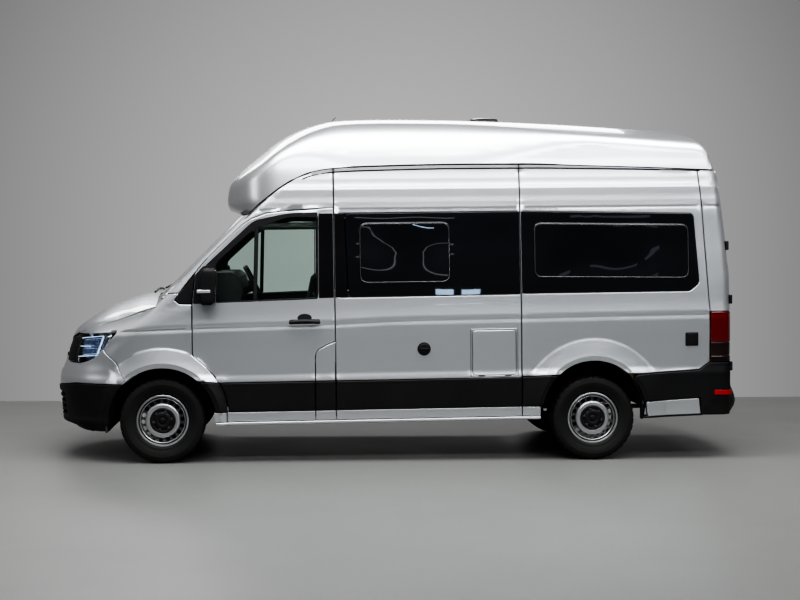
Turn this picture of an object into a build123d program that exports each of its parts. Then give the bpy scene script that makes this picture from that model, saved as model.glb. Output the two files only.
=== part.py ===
from build123d import *
from math import cos, radians, sin, sqrt
import os

# A camper van on a long-wheelbase panel van, with a moulded high roof.
# World frame: +X forward, +Y to the vehicle's left, +Z up, origin on the ground
# under the middle of the vehicle's box. Everything is in millimetres.
# The body stands nose-down by RAKE, so its pieces are drawn level in a body frame
# (same origin) and tipped as they are written. Wheels and axles are drawn in the world frame.

# Overall sizes
LENGTH = 5986
WIDTH = 2040
HEIGHT = 2971
WHEELBASE = 3640
FRONT_OVERHANG = 996
RAKE = 0.8
MIRROR_SPAN = 2427

# Running gear
TYRE_R = 356
TYRE_W = 238
RIM_R = 216
RIM_W = 176
FRONT_TRACK = 1758
REAR_TRACK = 1744
KINGPIN_Y = 820
HUB_HOLE_COUNT = 18
HUB_HOLE_R = 19
HUB_HOLE_PITCH_R = 163

# Shell
WALL = 70
ROOF_WALL = 40
ROOF_OPEN = 200
ROOF_CROWN_W = 2975
ROOF_SHOULDER_W = 2700
GAP = 8
GLASS = 5
GLASS_SINK = 3
SILL_W = 335
FLOOR_W = 600
FLOOR_T = 60
REAR_FACE = -2875
REAR_LEAN_W = 1500
REAR_TOP = (-2778, 2445)
CORNER_R = 80
ARCH_R = 450
REAR_ARCH_R = 437
REAR_ARCH_LIFT = 60
LINER_T = 8
ARCH_INNER_V = 550

# Stations along the body, in the body frame
FIREWALL_U = 1960
DOOR_FRONT_U = 1727
B_SEAM_U = 541
REAR_POST_U = -2838
BONNET_REAR_U = 2045

# Placed points: side outlines are (u, w) pairs, forward and up
FRONT_X = LENGTH / 2
FRONT_AXLE_X = FRONT_X - FRONT_OVERHANG
REAR_AXLE_X = FRONT_AXLE_X - WHEELBASE
HALF = WIDTH / 2


def in_body(x, z):
    """A world point in the body frame."""
    turn = radians(RAKE)
    return x * cos(turn) - z * sin(turn), x * sin(turn) + z * cos(turn)


FRONT_HUB = in_body(FRONT_AXLE_X, TYRE_R)
REAR_HUB = in_body(REAR_AXLE_X, TYRE_R)

# Half width of the body at each height (w, half width)
SECTION = [(SILL_W, HALF - 32), (700, HALF - 10), (1200, HALF), (1400, HALF - 8),
           (2100, HALF - 62), (2520, HALF - 112)]
# Half width of the moulded roof (w, half width)
ROOF_SECTION = [(2090, HALF - 62), (2440, HALF - 100), (2600, HALF - 142), (2740, HALF - 215),
                (2850, HALF - 330), (2925, HALF - 500), (2964, HALF - 730)]
# Run of the left rear corner (w, u, v), followed by its rounding
REAR_CORNER = [(200, REAR_FACE, HALF), (1200, REAR_FACE, HALF), (REAR_LEAN_W, REAR_FACE, HALF - 16),
               (2600, REAR_FACE + 113, HALF - 107)]
# The seam where the moulded roof sits on the steel body, from the rear forward
ROOF_SEAM = [REAR_TOP, (-1596, 2490), (-536, 2508), (534, 2483), (850, 2403), (1152, 2196), (1285, 2094)]
ROOF_TOP = [(1347, 2114), (1435, 2147), (1468, 2252), (1431, 2397), (1284, 2563), (992, 2786),
            (829, 2873), (685, 2925), (522, 2961), (118, 2974), (-1019, 2946), (-2209, 2870),
            (-2600, 2836), (-2664, 2808), (-2690, 2745)]
# Corners of the roof in plan, from the rear forward (u, half width)
ROOF_PLAN = [(-2800, 760), (-2765, 840), (-2700, 895), (-2600, 930), (1000, 930), (1150, 880), (1270, 790),
             (1360, 660), (1425, 460), (1460, 240), (1470, 0)]
# Crown of the bonnet at stations from the rear forward (u, w on the centre line, w at the full half width)
BONNET_CROWN = [(1400, 1560, 1500), (2045, 1436, 1268), (2361, 1372, 1120), (2716, 1195, 1062),
                (2995, 960, 860)]
NOSE_REAR = 1440
NOSE_SWEEP = 210
NOSE_CORNER_V = 850
NOSE_CHEEK = 2.4
BUMPER_FRONT = 2982
LAMP_FRONT = 2895
WING_T = 45
BONNET_T = 28
# Windscreen surface on the centre line, bottom then top
SCREEN = [(2031, 1441), (1366, 2094)]
SCREEN_PLAN_R = 6500

# How far cutting shapes run past what they cut, and how far region outlines stay clear of it
PAST = 300
CLEAR = 5
FAR = HALF + 60
CUT_V = 700

DOOR = [(1699, 1612), (1602, 1729), (1464, 1863), (1318, 1997), (1236, 2055), (1100, 2104),
        (918, 2124), (553, 2141), (553, 1030), (618, 1001), (683, 966), (715, 920), (715, 455),
        (1456, 455), (1478, 625), (1517, 685), (1614, 827), (1717, 917), (1727, 1356)]
DOOR_WINDOW = [(1543, 1367), (1529, 1691), (1209, 1990), (919, 2070), (670, 2070), (679, 1394)]
MID_WINDOW_R = 40
QUARTER_WINDOW_R = 30
MID_WINDOW = [(448, 2098), (-1015, 2100), (-1025, 1402), (423, 1395)]
QUARTER_WINDOW = [(-1062, 2109), (-2505, 2069), (-2568, 1473), (-2488, 1407), (-1062, 1421)]
SLIDING_DOOR = [(533, 2385), (-1020, 2400), (-1027, 420), (533, 420)]
FLAP = [(-602, 1112), (-998, 1112), (-998, 707), (-602, 707)]

BODY = Plane(origin=(0, 0, 0), x_dir=(cos(radians(RAKE)), 0, -sin(radians(RAKE))),
             z_dir=(sin(radians(RAKE)), 0, cos(radians(RAKE))))
os.makedirs("parts", exist_ok=True)


def save(piece, name, tipped=True):
    """Label a finished piece, tip it with the body where it belongs there, and write it."""
    placed = piece.moved(BODY.location) if tipped else piece
    placed.label = name
    export_step(placed, f"parts/{name}.step")


def side_block(outline, low, high, grow=0.0, round_r=0.0):
    """A side outline run across the body from v = low to v = high."""
    with BuildPart() as block:
        with BuildSketch(Plane.XZ.offset(-high)) as face:
            with BuildLine():
                Polyline(*outline, close=True)
            make_face()
            if round_r:
                fillet(face.vertices(), round_r)
            if grow:
                offset(amount=grow, kind=Kind.INTERSECTION)
        extrude(amount=high - low)
    return block.part


def box_between(low, high):
    """A box from its low corner to its high corner."""
    with BuildPart() as block:
        with Locations(low):
            Box(high[0] - low[0], high[1] - low[1], high[2] - low[2], align=(Align.MIN,) * 3)
    return block.part


def cross_section(table, inset, top):
    """The closed half-width outline mirrored about the centre line, in (v, w)."""
    right = [(half - inset, w) for w, half in table]
    right[-1] = (right[-1][0], top)
    return right + [(-v, w) for v, w in reversed(right)]


def drawn_in(points, amount):
    """The closed side outline drawn in by an amount."""
    with BuildSketch(Plane.XZ) as face:
        with BuildLine():
            Polyline(*points, close=True)
        make_face()
        if amount:
            offset(amount=-amount, kind=Kind.INTERSECTION)
    return face.sketch


def corner_waste():
    """What is cut away to round the left rear corner, following its lean and tumblehome."""
    with BuildPart() as waste:
        for (low_w, low_u, low_v), (high_w, high_u, high_v) in zip(REAR_CORNER[:-1], REAR_CORNER[1:]):
            run = Vector(high_u - low_u, high_v - low_v, high_w - low_w)
            with BuildSketch(Plane.XY.offset(low_w)):
                with Locations((low_u + CORNER_R, low_v - CORNER_R)):
                    Rectangle(CORNER_R + 60, CORNER_R + 60, align=(Align.MAX, Align.MIN))
                    Circle(CORNER_R, mode=Mode.SUBTRACT)
            extrude(amount=run.length, dir=run)
    return waste.part


def body_hull(inset, open_ends=False):
    """The steel body behind the bonnet, drawn in by inset; open_ends runs it past floor and seam."""
    reach = PAST if open_ends else 0
    seam = [(u, w + reach) for u, w in ROOF_SEAM]
    profile = [(REAR_FACE, SILL_W - reach), (REAR_FACE, REAR_LEAN_W)] + seam
    profile += [(1500, 2094 + reach), (2350, 1441), (FIREWALL_U, 1441), (FIREWALL_U, SILL_W - reach)]
    profile_face = drawn_in(profile, inset)
    table = [(SILL_W - reach, SECTION[0][1])] + SECTION[1:]
    screen_run = Vector(SCREEN[1][0] - SCREEN[0][0], 0, SCREEN[1][1] - SCREEN[0][1])
    screen_out = Vector(-screen_run.Z, 0, screen_run.X).normalized() * -1
    foot = Vector(SCREEN[0][0], 0, SCREEN[0][1]) - screen_run * 3 - screen_out * inset
    screen_plane = Plane(origin=foot, x_dir=(0, 1, 0), z_dir=screen_run)
    side = -1 if screen_plane.y_dir.dot(screen_out) > 0 else 1
    with BuildPart() as hull:
        with BuildSketch(Plane.YZ.offset(REAR_FACE - 100)):
            with BuildLine():
                Polyline(*cross_section(table, inset, SECTION[-1][0] + reach), close=True)
            make_face()
        extrude(amount=LENGTH)
        extrude(profile_face.moved(Location((0, WIDTH, 0))), amount=2 * WIDTH, mode=Mode.INTERSECT)
        with BuildSketch(screen_plane):
            with BuildLine():
                sag = SCREEN_PLAN_R - sqrt(SCREEN_PLAN_R ** 2 - WIDTH ** 2 / 2.5)
                reach_v = WIDTH / sqrt(2.5)
                ThreePointArc((-reach_v, side * sag), (0, 0), (reach_v, side * sag))
                Polyline((reach_v, side * sag), (reach_v, side * 3 * LENGTH),
                         (-reach_v, side * 3 * LENGTH), (-reach_v, side * sag))
            make_face()
        extrude(amount=8 * screen_run.length, mode=Mode.INTERSECT)
        if not inset:
            corner = corner_waste()
            add(corner, mode=Mode.SUBTRACT)
            add(mirror(corner, about=Plane.XZ), mode=Mode.SUBTRACT)
    return hull.part


def crown(inset):
    """The volume under the bonnet's crowned surface: (u, centre w, edge w at the full half width)."""
    with BuildPart() as under:
        for u, middle, edge in BONNET_CROWN:
            with BuildSketch(Plane.YZ.offset(u)):
                with BuildLine():
                    ThreePointArc((-HALF, edge - inset), (0, middle - inset), (HALF, edge - inset))
                    Polyline((HALF, edge - inset), (HALF, 100), (-HALF, 100), (-HALF, edge - inset))
                make_face()
        loft()
    return under.part


def nose_hull(inset, front):
    """Bonnet, wings and front end, drawn in by inset, with its foremost point at u = front."""
    corner_u = front - NOSE_SWEEP
    cheek_u = front - NOSE_CHEEK * NOSE_SWEEP
    with BuildPart() as hull:
        add(crown(inset))
        with BuildSketch(Plane.YZ.offset(NOSE_REAR)):
            with BuildLine():
                Polyline(*cross_section([(100, SECTION[0][1])] + SECTION, inset, 2600), close=True)
            make_face()
        extrude(amount=LENGTH, mode=Mode.INTERSECT)
        with BuildSketch(Plane.XY):
            with BuildLine():
                ThreePointArc((corner_u, -NOSE_CORNER_V), (front, 0), (corner_u, NOSE_CORNER_V))
                Polyline((corner_u, NOSE_CORNER_V), (cheek_u, HALF + CLEAR),
                         (NOSE_REAR - PAST, HALF + CLEAR), (NOSE_REAR - PAST, -HALF - CLEAR),
                         (cheek_u, -HALF - CLEAR), (corner_u, -NOSE_CORNER_V))
            make_face()
            if inset:
                offset(amount=-inset, kind=Kind.INTERSECTION)
        extrude(amount=HEIGHT, mode=Mode.INTERSECT)
    return hull.part


def roof_hull(inset, reach=0):
    """The moulded roof, drawn in by inset; reach runs it down past the seam."""
    seam = [(u, w - reach) for u, w in ROOF_SEAM]
    profile_face = drawn_in(seam + ROOF_TOP, inset)
    half = [(v - inset, w - inset * (w > ROOF_SHOULDER_W)) for w, v in ROOF_SECTION]
    half[0] = (half[0][0], ROOF_SECTION[0][0] - reach)
    mirror_half = [(-v, w) for v, w in reversed(half)]
    with BuildPart() as hull:
        with BuildSketch(Plane.YZ.offset(REAR_FACE - 100)):
            with BuildLine():
                Polyline(*half, (0, ROOF_CROWN_W - inset), *mirror_half, close=True)
            make_face()
        extrude(amount=LENGTH)
        extrude(profile_face.moved(Location((0, WIDTH, 0))), amount=2 * WIDTH, mode=Mode.INTERSECT)
        with BuildSketch(Plane.XY.offset(ROOF_SECTION[0][0] - reach)):
            with BuildLine():
                Polyline(*ROOF_PLAN, *[(u, -v) for u, v in reversed(ROOF_PLAN[:-1])], close=True)
            make_face()
            if inset:
                offset(amount=-inset, kind=Kind.INTERSECTION)
        extrude(amount=HEIGHT, mode=Mode.INTERSECT)
    return hull.part


def mirrored(piece):
    """The same piece on the other side of the vehicle."""
    return mirror(piece, about=Plane.XZ)


def upright(u, v, w, radius, height):
    """A standing cylinder from w upward in the body frame."""
    with BuildPart() as post:
        with BuildSketch(Plane.XY.offset(w)):
            with Locations((u, v)):
                Circle(radius)
        extrude(amount=height)
    return post.part


def across(u, w, radius, low, high):
    """A cylinder lying across the vehicle from v = low to v = high."""
    with BuildPart() as bar:
        with BuildSketch(Plane.XZ.offset(-high)):
            with Locations((u, w)):
                Circle(radius)
        extrude(amount=high - low)
    return bar.part


# Master volumes
outer_body = body_hull(0)
inner_body = body_hull(WALL, open_ends=True)
shell = outer_body - inner_body
glass_layer = body_hull(GLASS_SINK) - body_hull(GLASS_SINK + GLASS)
nose = nose_hull(0, LAMP_FRONT)
bumper_nose = nose_hull(0, BUMPER_FRONT)

# Wheel arches
front_arch = across(*FRONT_HUB, ARCH_R, ARCH_INNER_V, HALF + 50)
front_arch += box_between((FRONT_HUB[0] - ARCH_R + 10, ARCH_INNER_V, 0),
                          (FRONT_HUB[0] + ARCH_R - 10, HALF + 50, FRONT_HUB[1]))
rear_arch_w = REAR_HUB[1] + REAR_ARCH_LIFT
rear_arch = across(REAR_HUB[0], rear_arch_w, REAR_ARCH_R, ARCH_INNER_V, HALF + 50)
rear_arch += box_between((REAR_HUB[0] - REAR_ARCH_R, ARCH_INNER_V, 0),
                         (REAR_HUB[0] + REAR_ARCH_R, HALF + 50, rear_arch_w))
front_liner_out = across(*FRONT_HUB, ARCH_R + LINER_T, ARCH_INNER_V - LINER_T, HALF + 50)
rear_liner_out = across(REAR_HUB[0], rear_arch_w, REAR_ARCH_R + LINER_T, ARCH_INNER_V - LINER_T, HALF + 50)
arches = front_arch + rear_arch
arches = arches + mirrored(arches)
liner_volumes = front_liner_out + rear_liner_out
liner_volumes = liner_volumes + mirrored(liner_volumes)

# Side doors
DOOR_INNER_V = 845
door_hole = side_block(DOOR, DOOR_INNER_V, FAR, grow=GAP)
door_region = side_block(DOOR, DOOR_INNER_V, FAR)
door_window = side_block(DOOR_WINDOW, DOOR_INNER_V, FAR)
DOOR_AXIS = (DOOR_FRONT_U - 10, HALF - 6)
DOOR_HINGE_W = (960, 1290)
REAR_AXIS = (REAR_FACE + 13, HALF - 25)
REAR_HINGE_W = (757, 1330, 1790)
HINGE_R = 11
HINGE_H = 36
SEAT = 0.3
HINGE_ROOT = 34
HINGE_LIP = 2
HINGE_FOOT = 24


def hinge_pair(axis, w, post_u):
    """A leaf barrel over a fixed barrel on an upright axis, with the room each needs in the other panel."""
    u, v = axis
    half_arm = HINGE_R / 2
    leaf = upright(u, v, w + SEAT, HINGE_R, HINGE_H)
    leaf_room = upright(u, v, w, HINGE_R + GAP, HINGE_H + GAP)
    fixed = upright(u, v, w - HINGE_H, HINGE_R, HINGE_H)
    fixed += box_between((u, v - half_arm, w - HINGE_H), (post_u + HINGE_LIP, v + half_arm, w))
    fixed += box_between((post_u + HINGE_LIP, v - HINGE_ROOT, w - HINGE_H),
                         (post_u + HINGE_FOOT, v + half_arm, w))
    fixed_room = upright(u, v, w - HINGE_H - GAP, HINGE_R + GAP, HINGE_H + GAP + SEAT)
    return leaf, leaf_room, fixed, fixed_room


# Rear doors: the outer flange wraps to the corner posts, the inner box fits between them
BEHIND = REAR_FACE - 60
REAR_STEP = WALL + 6
REAR_DOOR_LOW = 735
REAR_DOOR_HIGH = 2400
lean = (REAR_TOP[0] - REAR_FACE) / (REAR_TOP[1] - REAR_LEAN_W)


def rear_region(depth, low, high, half_width):
    """The slice of the body within depth of the leaning rear face."""
    rise = (high - REAR_LEAN_W) * lean
    edge = REAR_FACE + depth
    outline = [(BEHIND, low), (edge, low), (edge, REAR_LEAN_W), (edge + rise, high), (BEHIND, high)]
    return side_block(outline, -half_width, half_width)


REAR_SEAM = 30
REAR_INNER_V = 922
rear_doors_region = rear_region(REAR_SEAM, REAR_DOOR_LOW, REAR_DOOR_HIGH, FAR)
rear_doors_region += rear_region(REAR_STEP, REAR_DOOR_LOW, REAR_DOOR_HIGH, REAR_INNER_V)
rear_doors_hole = rear_region(REAR_SEAM + GAP, REAR_DOOR_LOW - GAP, REAR_DOOR_HIGH + GAP, FAR)
rear_doors_hole += rear_region(REAR_STEP + GAP, REAR_DOOR_LOW - GAP, REAR_DOOR_HIGH + GAP,
                               REAR_INNER_V + GAP)
REAR_WINDOW_R = 30
REAR_WINDOW = [(130, 1420), (790, 1420), (760, 2070), (130, 2070)]


def rear_pane(side):
    """The window opening of one rear door, run through it from the rear."""
    with BuildPart() as block:
        with BuildSketch(Plane.YZ.offset(BEHIND)) as face:
            with BuildLine():
                Polyline(*[(side * v, w) for v, w in REAR_WINDOW], close=True)
            make_face()
            fillet(face.vertices(), REAR_WINDOW_R)
        extrude(amount=PAST)
    return block.part


# Front end regions, as side outlines
FRONT_MID_U = 2400
LAMP = [(2361, 1118), (2451, 1042), (2546, 938), (2590, 905), (3000, 890), (3000, 1097), (2716, 1097)]
BUMPER = [(2300, 345), (2300, 560), (2372, 884), (2460, 955), (2540, 925), (2590, 895), (3000, 880),
          (2982, 700), (2960, 495), (2950, 408), (2978, 365), (2890, 332), (2740, 249), (2529, 227)]
WING = [(1449, 345), (1464, 543), (1486, 625), (1525, 690), (1622, 832), (1725, 922), (1735, 1356),
        (1735, 1600), (2900, 1600), (2900, 880), (2372, 884), (2326, 690), (2000, 500), (1570, 345)]
BONNET_SIDE = [(BONNET_REAR_U, 1090), (2361, 1126), (2716, 1105), (3000, 1062), (3000, 1700),
               (BONNET_REAR_U, 1700)]
BONNET_PLAN = [(BONNET_REAR_U, 850), (2361, 835), (2600, 800), (3000, 760)]
LAMP_INNER_V = 505
LAMP_DEPTH = 120
# Sunk lamp modules (low v, high v, low w, high w) and the depth of their relief
LAMP_MODULES = [(630, 850, 930, 988), (620, 900, 1002, 1060)]
LAMP_RELIEF = 14
GRILLE_V = LAMP_INNER_V
GRILLE_DEPTH = 60
# Rubber buffers under the bonnet: (u, v, w), radius and height
BUFFER = (2700, 600, 1085)
BUFFER_R = 10
BUFFER_H = 120
# Slats of the lower bumper (low w, high w), their half width and relief
BUMPER_SLOTS = [(566, 604), (508, 546), (450, 488)]
BUMPER_SLOT_V = 540
BUMPER_SLOT_T = 40
# Sockets for the towing eye: (v, w), thread, mouth and boss radii, and depth of thread
TOW_AT = (-500, 640)
TOW_THREAD_R = 9
TOW_MOUTH_R = 26
TOW_BOSS_R = 24
TOW_LENGTH = 80
TOW_FRONT_U = 2885
TOW_REAR_U = -2960

bonnet_plan = [(u, v) for u, v in BONNET_PLAN] + [(u, -v) for u, v in reversed(BONNET_PLAN)]


def along(u, centre, radius, length):
    """A cylinder lying along the vehicle from u forward, centred on (v, w)."""
    with BuildPart() as bar:
        with BuildSketch(Plane.YZ.offset(u)):
            with Locations(centre):
                Circle(radius)
        extrude(amount=length)
    return bar.part


def bonnet_region(grow):
    """The part of the nose that lifts, grown by grow."""
    with BuildPart() as block:
        add(side_block(BONNET_SIDE, -FAR, FAR, grow=grow))
        with BuildSketch(Plane.XY.offset(900)):
            with BuildLine():
                Polyline(*bonnet_plan, close=True)
            make_face()
            if grow:
                offset(amount=grow, kind=Kind.INTERSECTION)
        extrude(amount=900, mode=Mode.INTERSECT)
    return block.part


# Front wings: one solid a side, from the door's front edge to the bumper
nose_skin = nose - nose_hull(WING_T, LAMP_FRONT)
lamp_block = side_block(LAMP, LAMP_INNER_V, FAR)
lamp_blocks = lamp_block + mirrored(lamp_block)
bumper_block = side_block(BUMPER, -FAR, FAR)
bonnet_hole = bonnet_region(GAP)
wing_blocks = side_block(WING, CUT_V, FAR)
wing_blocks += mirrored(wing_blocks)
wing_skin = nose_skin & wing_blocks
wing_skin = wing_skin - lamp_blocks - bonnet_hole - arches - door_hole - mirrored(door_hole)
door_hinges = [hinge_pair(DOOR_AXIS, w, DOOR_FRONT_U + GAP) for w in DOOR_HINGE_W]
with BuildPart() as front_wings:
    add(wing_skin)
    for leaf, leaf_room, fixed, fixed_room in door_hinges:
        add(leaf_room + mirrored(leaf_room), mode=Mode.SUBTRACT)
        add(fixed + mirrored(fixed))
save(front_wings.part, "front_wings")

bumper_relief = bumper_nose - nose_hull(BUMPER_SLOT_T, BUMPER_FRONT)
with BuildPart() as front_bumper:
    add(bumper_nose - nose_hull(WALL, BUMPER_FRONT))
    add(bumper_block, mode=Mode.INTERSECT)
    add(arches, mode=Mode.SUBTRACT)
    add(front_wings.part, mode=Mode.SUBTRACT)
    for low, high in BUMPER_SLOTS:
        slot = box_between((FRONT_MID_U, -BUMPER_SLOT_V, low), (FRONT_X + CLEAR, BUMPER_SLOT_V, high))
        add(bumper_relief & slot, mode=Mode.SUBTRACT)
    add(along(TOW_FRONT_U - TOW_LENGTH, TOW_AT, TOW_BOSS_R, TOW_LENGTH))
    add(along(TOW_FRONT_U, TOW_AT, TOW_MOUTH_R, PAST), mode=Mode.SUBTRACT)
    add(along(TOW_FRONT_U - TOW_LENGTH, TOW_AT, TOW_THREAD_R, TOW_LENGTH), mode=Mode.SUBTRACT)
save(front_bumper.part, "front_bumper")

lamp_relief = nose - nose_hull(LAMP_RELIEF, LAMP_FRONT)
with BuildPart() as headlamps:
    add(nose - nose_hull(LAMP_DEPTH, LAMP_FRONT))
    add(lamp_blocks, mode=Mode.INTERSECT)
    add(bonnet_hole, mode=Mode.SUBTRACT)
    for low_v, high_v, low, high in LAMP_MODULES:
        module = lamp_relief & box_between((FRONT_MID_U, low_v, low), (FRONT_X + CLEAR, high_v, high))
        add(module + mirrored(module), mode=Mode.SUBTRACT)
    buffer = upright(*BUFFER, BUFFER_R, BUFFER_H) & nose_hull(BONNET_T + SEAT, LAMP_FRONT)
    add(buffer + mirrored(buffer))
save(headlamps.part, "headlamps")

GRILLE_LOW = 884
GRILLE_HIGH = 1050
GRILLE_BARS = 5
GRILLE_RIM = 16
GRILLE_BAR_T = 14
GRILLE_SIDE = 40
GRILLE_BACK_U = LAMP_FRONT - 35
with BuildPart() as grille:
    add(nose - nose_hull(GRILLE_DEPTH, LAMP_FRONT))
    add(box_between((FRONT_MID_U, -GRILLE_V, GRILLE_LOW), (FRONT_X + CLEAR, GRILLE_V, GRILLE_HIGH)),
        mode=Mode.INTERSECT)
    add(bonnet_hole, mode=Mode.SUBTRACT)
    slot_pitch = (GRILLE_HIGH - GRILLE_LOW - GRILLE_RIM) / GRILLE_BARS
    for row in range(GRILLE_BARS):
        low = GRILLE_LOW + GRILLE_RIM + row * slot_pitch
        add(box_between((GRILLE_BACK_U, -GRILLE_V + GRILLE_SIDE, low),
                        (FRONT_X + CLEAR, GRILLE_V - GRILLE_SIDE, low + slot_pitch - GRILLE_BAR_T)),
            mode=Mode.SUBTRACT)
save(grille.part, "grille")

with BuildPart() as bonnet:
    add(nose - nose_hull(BONNET_T, LAMP_FRONT))
    add(bonnet_region(0), mode=Mode.INTERSECT)
save(bonnet.part, "bonnet")

# Floor, toe board and chassis rails
RAIL_V = (430, 510)
RAIL_LOW = 440
RAIL_REAR = REAR_FACE + 90
RAIL_FRONT = 2560
FLOOR_LOW = FLOOR_W - FLOOR_T
TOE_U = 1500
TOE = [(TOE_U, FLOOR_LOW), (1535, FLOOR_LOW + 40), (1880, 925), (FIREWALL_U - WALL, 980), (1850, 985),
       (TOE_U, FLOOR_W)]
with BuildPart() as floor_pan:
    add(inner_body)
    add(box_between((REAR_FACE, -FAR, FLOOR_LOW), (TOE_U, FAR, FLOOR_W)) + side_block(TOE, -FAR, FAR),
        mode=Mode.INTERSECT)
    add(liner_volumes, mode=Mode.SUBTRACT)
    for side in (1, -1):
        low_v, high_v = sorted((side * RAIL_V[0], side * RAIL_V[1]))
        add(box_between((RAIL_REAR, low_v, RAIL_LOW), (RAIL_FRONT, high_v, FLOOR_LOW)))
save(floor_pan.part, "floor_pan")

# Wheel arch liners
LINER_V = HALF - WALL - 30
LINER_LOW = 420
with BuildPart() as wheel_arch_liners:
    add(liner_volumes)
    add(arches, mode=Mode.SUBTRACT)
    add(box_between((-LENGTH, -LINER_V, LINER_LOW), (LENGTH, LINER_V, HEIGHT)), mode=Mode.INTERSECT)
    add(floor_pan.part, mode=Mode.SUBTRACT)
save(wheel_arch_liners.part, "wheel_arch_liners")

# Cab shell: windscreen frame, pillars, sills and the wall behind the engine
SCREEN_REAR_U = 1200
SCREEN_REACH = 1200
SCREEN_HALF = [(830, 1475), (830, 1520), (720, 2030), (690, 2062)]
with BuildPart() as screen_block:
    with BuildSketch(Plane.YZ.offset(SCREEN_REAR_U)):
        with BuildLine():
            Polyline(*SCREEN_HALF, *[(-v, w) for v, w in reversed(SCREEN_HALF)], close=True)
        make_face()
    extrude(amount=SCREEN_REACH)
with BuildPart() as cab_shell:
    add(shell)
    add(box_between((B_SEAM_U, -FAR, 0), (FIREWALL_U, FAR, HEIGHT)), mode=Mode.INTERSECT)
    add(box_between((TOE_U - 10, -HALF + WALL, 0), (FIREWALL_U, HALF - WALL, FLOOR_LOW)),
        mode=Mode.SUBTRACT)
    add(door_hole, mode=Mode.SUBTRACT)
    add(mirrored(door_hole), mode=Mode.SUBTRACT)
    add(screen_block.part, mode=Mode.SUBTRACT)
    add(arches + liner_volumes, mode=Mode.SUBTRACT)
    add(front_wings.part, mode=Mode.SUBTRACT)
    add(floor_pan.part, mode=Mode.SUBTRACT)
    add(wheel_arch_liners.part, mode=Mode.SUBTRACT)
    for leaf, leaf_room, fixed, fixed_room in door_hinges:
        add(leaf_room + mirrored(leaf_room), mode=Mode.SUBTRACT)
save(cab_shell.part, "cab_shell")

with BuildPart() as windscreen:
    add(glass_layer)
    add(screen_block.part, mode=Mode.INTERSECT)
save(windscreen.part, "windscreen")

# Side walls from the cab to the rear corner posts
BUMPER_TOP = 712
BUMPER_FOOT = SILL_W - 5
rear_bumper_plan = [(-2577, HALF - 5), (-2840, HALF - 12), (-2936, 860), (-2985, 500), (-2999, 0)]
with BuildPart() as rear_bumper:
    with BuildSketch(Plane.XY.offset(BUMPER_FOOT)):
        with BuildLine():
            Polyline(*rear_bumper_plan, *[(u, -v) for u, v in reversed(rear_bumper_plan[:-1])], close=True)
        make_face()
    extrude(amount=BUMPER_TOP - BUMPER_FOOT)
    add(box_between((REAR_FACE, -HALF + WALL, 0), (REAR_HUB[0], HALF - WALL, HEIGHT)), mode=Mode.SUBTRACT)
    add(along(TOW_REAR_U - PAST, TOW_AT, TOW_MOUTH_R, PAST), mode=Mode.SUBTRACT)
    add(along(TOW_REAR_U, TOW_AT, TOW_THREAD_R, TOW_LENGTH), mode=Mode.SUBTRACT)
save(rear_bumper.part, "rear_bumper")

LAMP_OUTLINE = [(-2666, 1225), (REAR_POST_U, 1225), (REAR_POST_U, 795), (-2645, 795)]
LAMP_T = 55
lamp_rear = side_block(LAMP_OUTLINE, REAR_INNER_V + GAP, FAR)
with BuildPart() as tail_lamps:
    add((outer_body & lamp_rear) - body_hull(LAMP_T))
    mirror(about=Plane.XZ)
save(tail_lamps.part, "tail_lamps")

windows_left = side_block(MID_WINDOW, CUT_V, FAR, round_r=MID_WINDOW_R)
windows_left += side_block(QUARTER_WINDOW, CUT_V, FAR, round_r=QUARTER_WINDOW_R)
windows_right = mirrored(windows_left)
flap_hole = side_block(FLAP, CUT_V, FAR, grow=GAP)
FLAP_T = 30
FLAP_AXIS = (HALF - 9, 703)
FLAP_BARREL_R = 7
FLAP_HINGE_U = (-930, -720)
FLAP_LEAF = (HALF - 18, HALF - 8)
FLAP_LEAF_H = 14

sliding_region = side_block(SLIDING_DOOR, -FAR, -CUT_V)
rear_hinges = [hinge_pair(REAR_AXIS, w, REAR_POST_U + max(0, w - REAR_LEAN_W) * lean) for w in REAR_HINGE_W]


def side_wall(side):
    """One outer wall with its window, arch and rear corner post."""
    low_v, high_v = sorted((0, side * FAR))
    with BuildPart() as wall:
        add(shell)
        add(box_between((BEHIND, low_v, 0), (B_SEAM_U, high_v, HEIGHT)), mode=Mode.INTERSECT)
        add(rear_doors_hole, mode=Mode.SUBTRACT)
        add(arches + liner_volumes, mode=Mode.SUBTRACT)
        add(rear_bumper.part, mode=Mode.SUBTRACT)
        add(tail_lamps.part, mode=Mode.SUBTRACT)
        if side > 0:
            add(windows_left, mode=Mode.SUBTRACT)
            add(flap_hole, mode=Mode.SUBTRACT)
            for low_u in FLAP_HINGE_U:
                add(along(low_u - GAP, FLAP_AXIS, FLAP_BARREL_R + GAP, HINGE_H + GAP), mode=Mode.SUBTRACT)
                fixed_u = low_u + HINGE_H + SEAT
                add(along(fixed_u, FLAP_AXIS, FLAP_BARREL_R, HINGE_H))
                add(box_between((fixed_u, FLAP_LEAF[0], FLAP_AXIS[1] - FLAP_LEAF_H),
                                (fixed_u + HINGE_H, FLAP_LEAF[1], FLAP_AXIS[1])))
        else:
            add(windows_right, mode=Mode.SUBTRACT)
            add(sliding_region, mode=Mode.SUBTRACT)
        add(floor_pan.part, mode=Mode.SUBTRACT)
        for leaf, leaf_room, fixed, fixed_room in rear_hinges:
            add(leaf_room if side > 0 else mirrored(leaf_room), mode=Mode.SUBTRACT)
            add(fixed if side > 0 else mirrored(fixed))
    return wall.part


save(side_wall(1), "side_wall_left")
save(side_wall(-1), "side_wall_right")

with BuildPart() as sliding_door:
    add(shell)
    add(sliding_region, mode=Mode.INTERSECT)
    add(windows_right, mode=Mode.SUBTRACT)
    add(floor_pan.part, mode=Mode.SUBTRACT)
save(sliding_door.part, "sliding_door")

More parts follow.
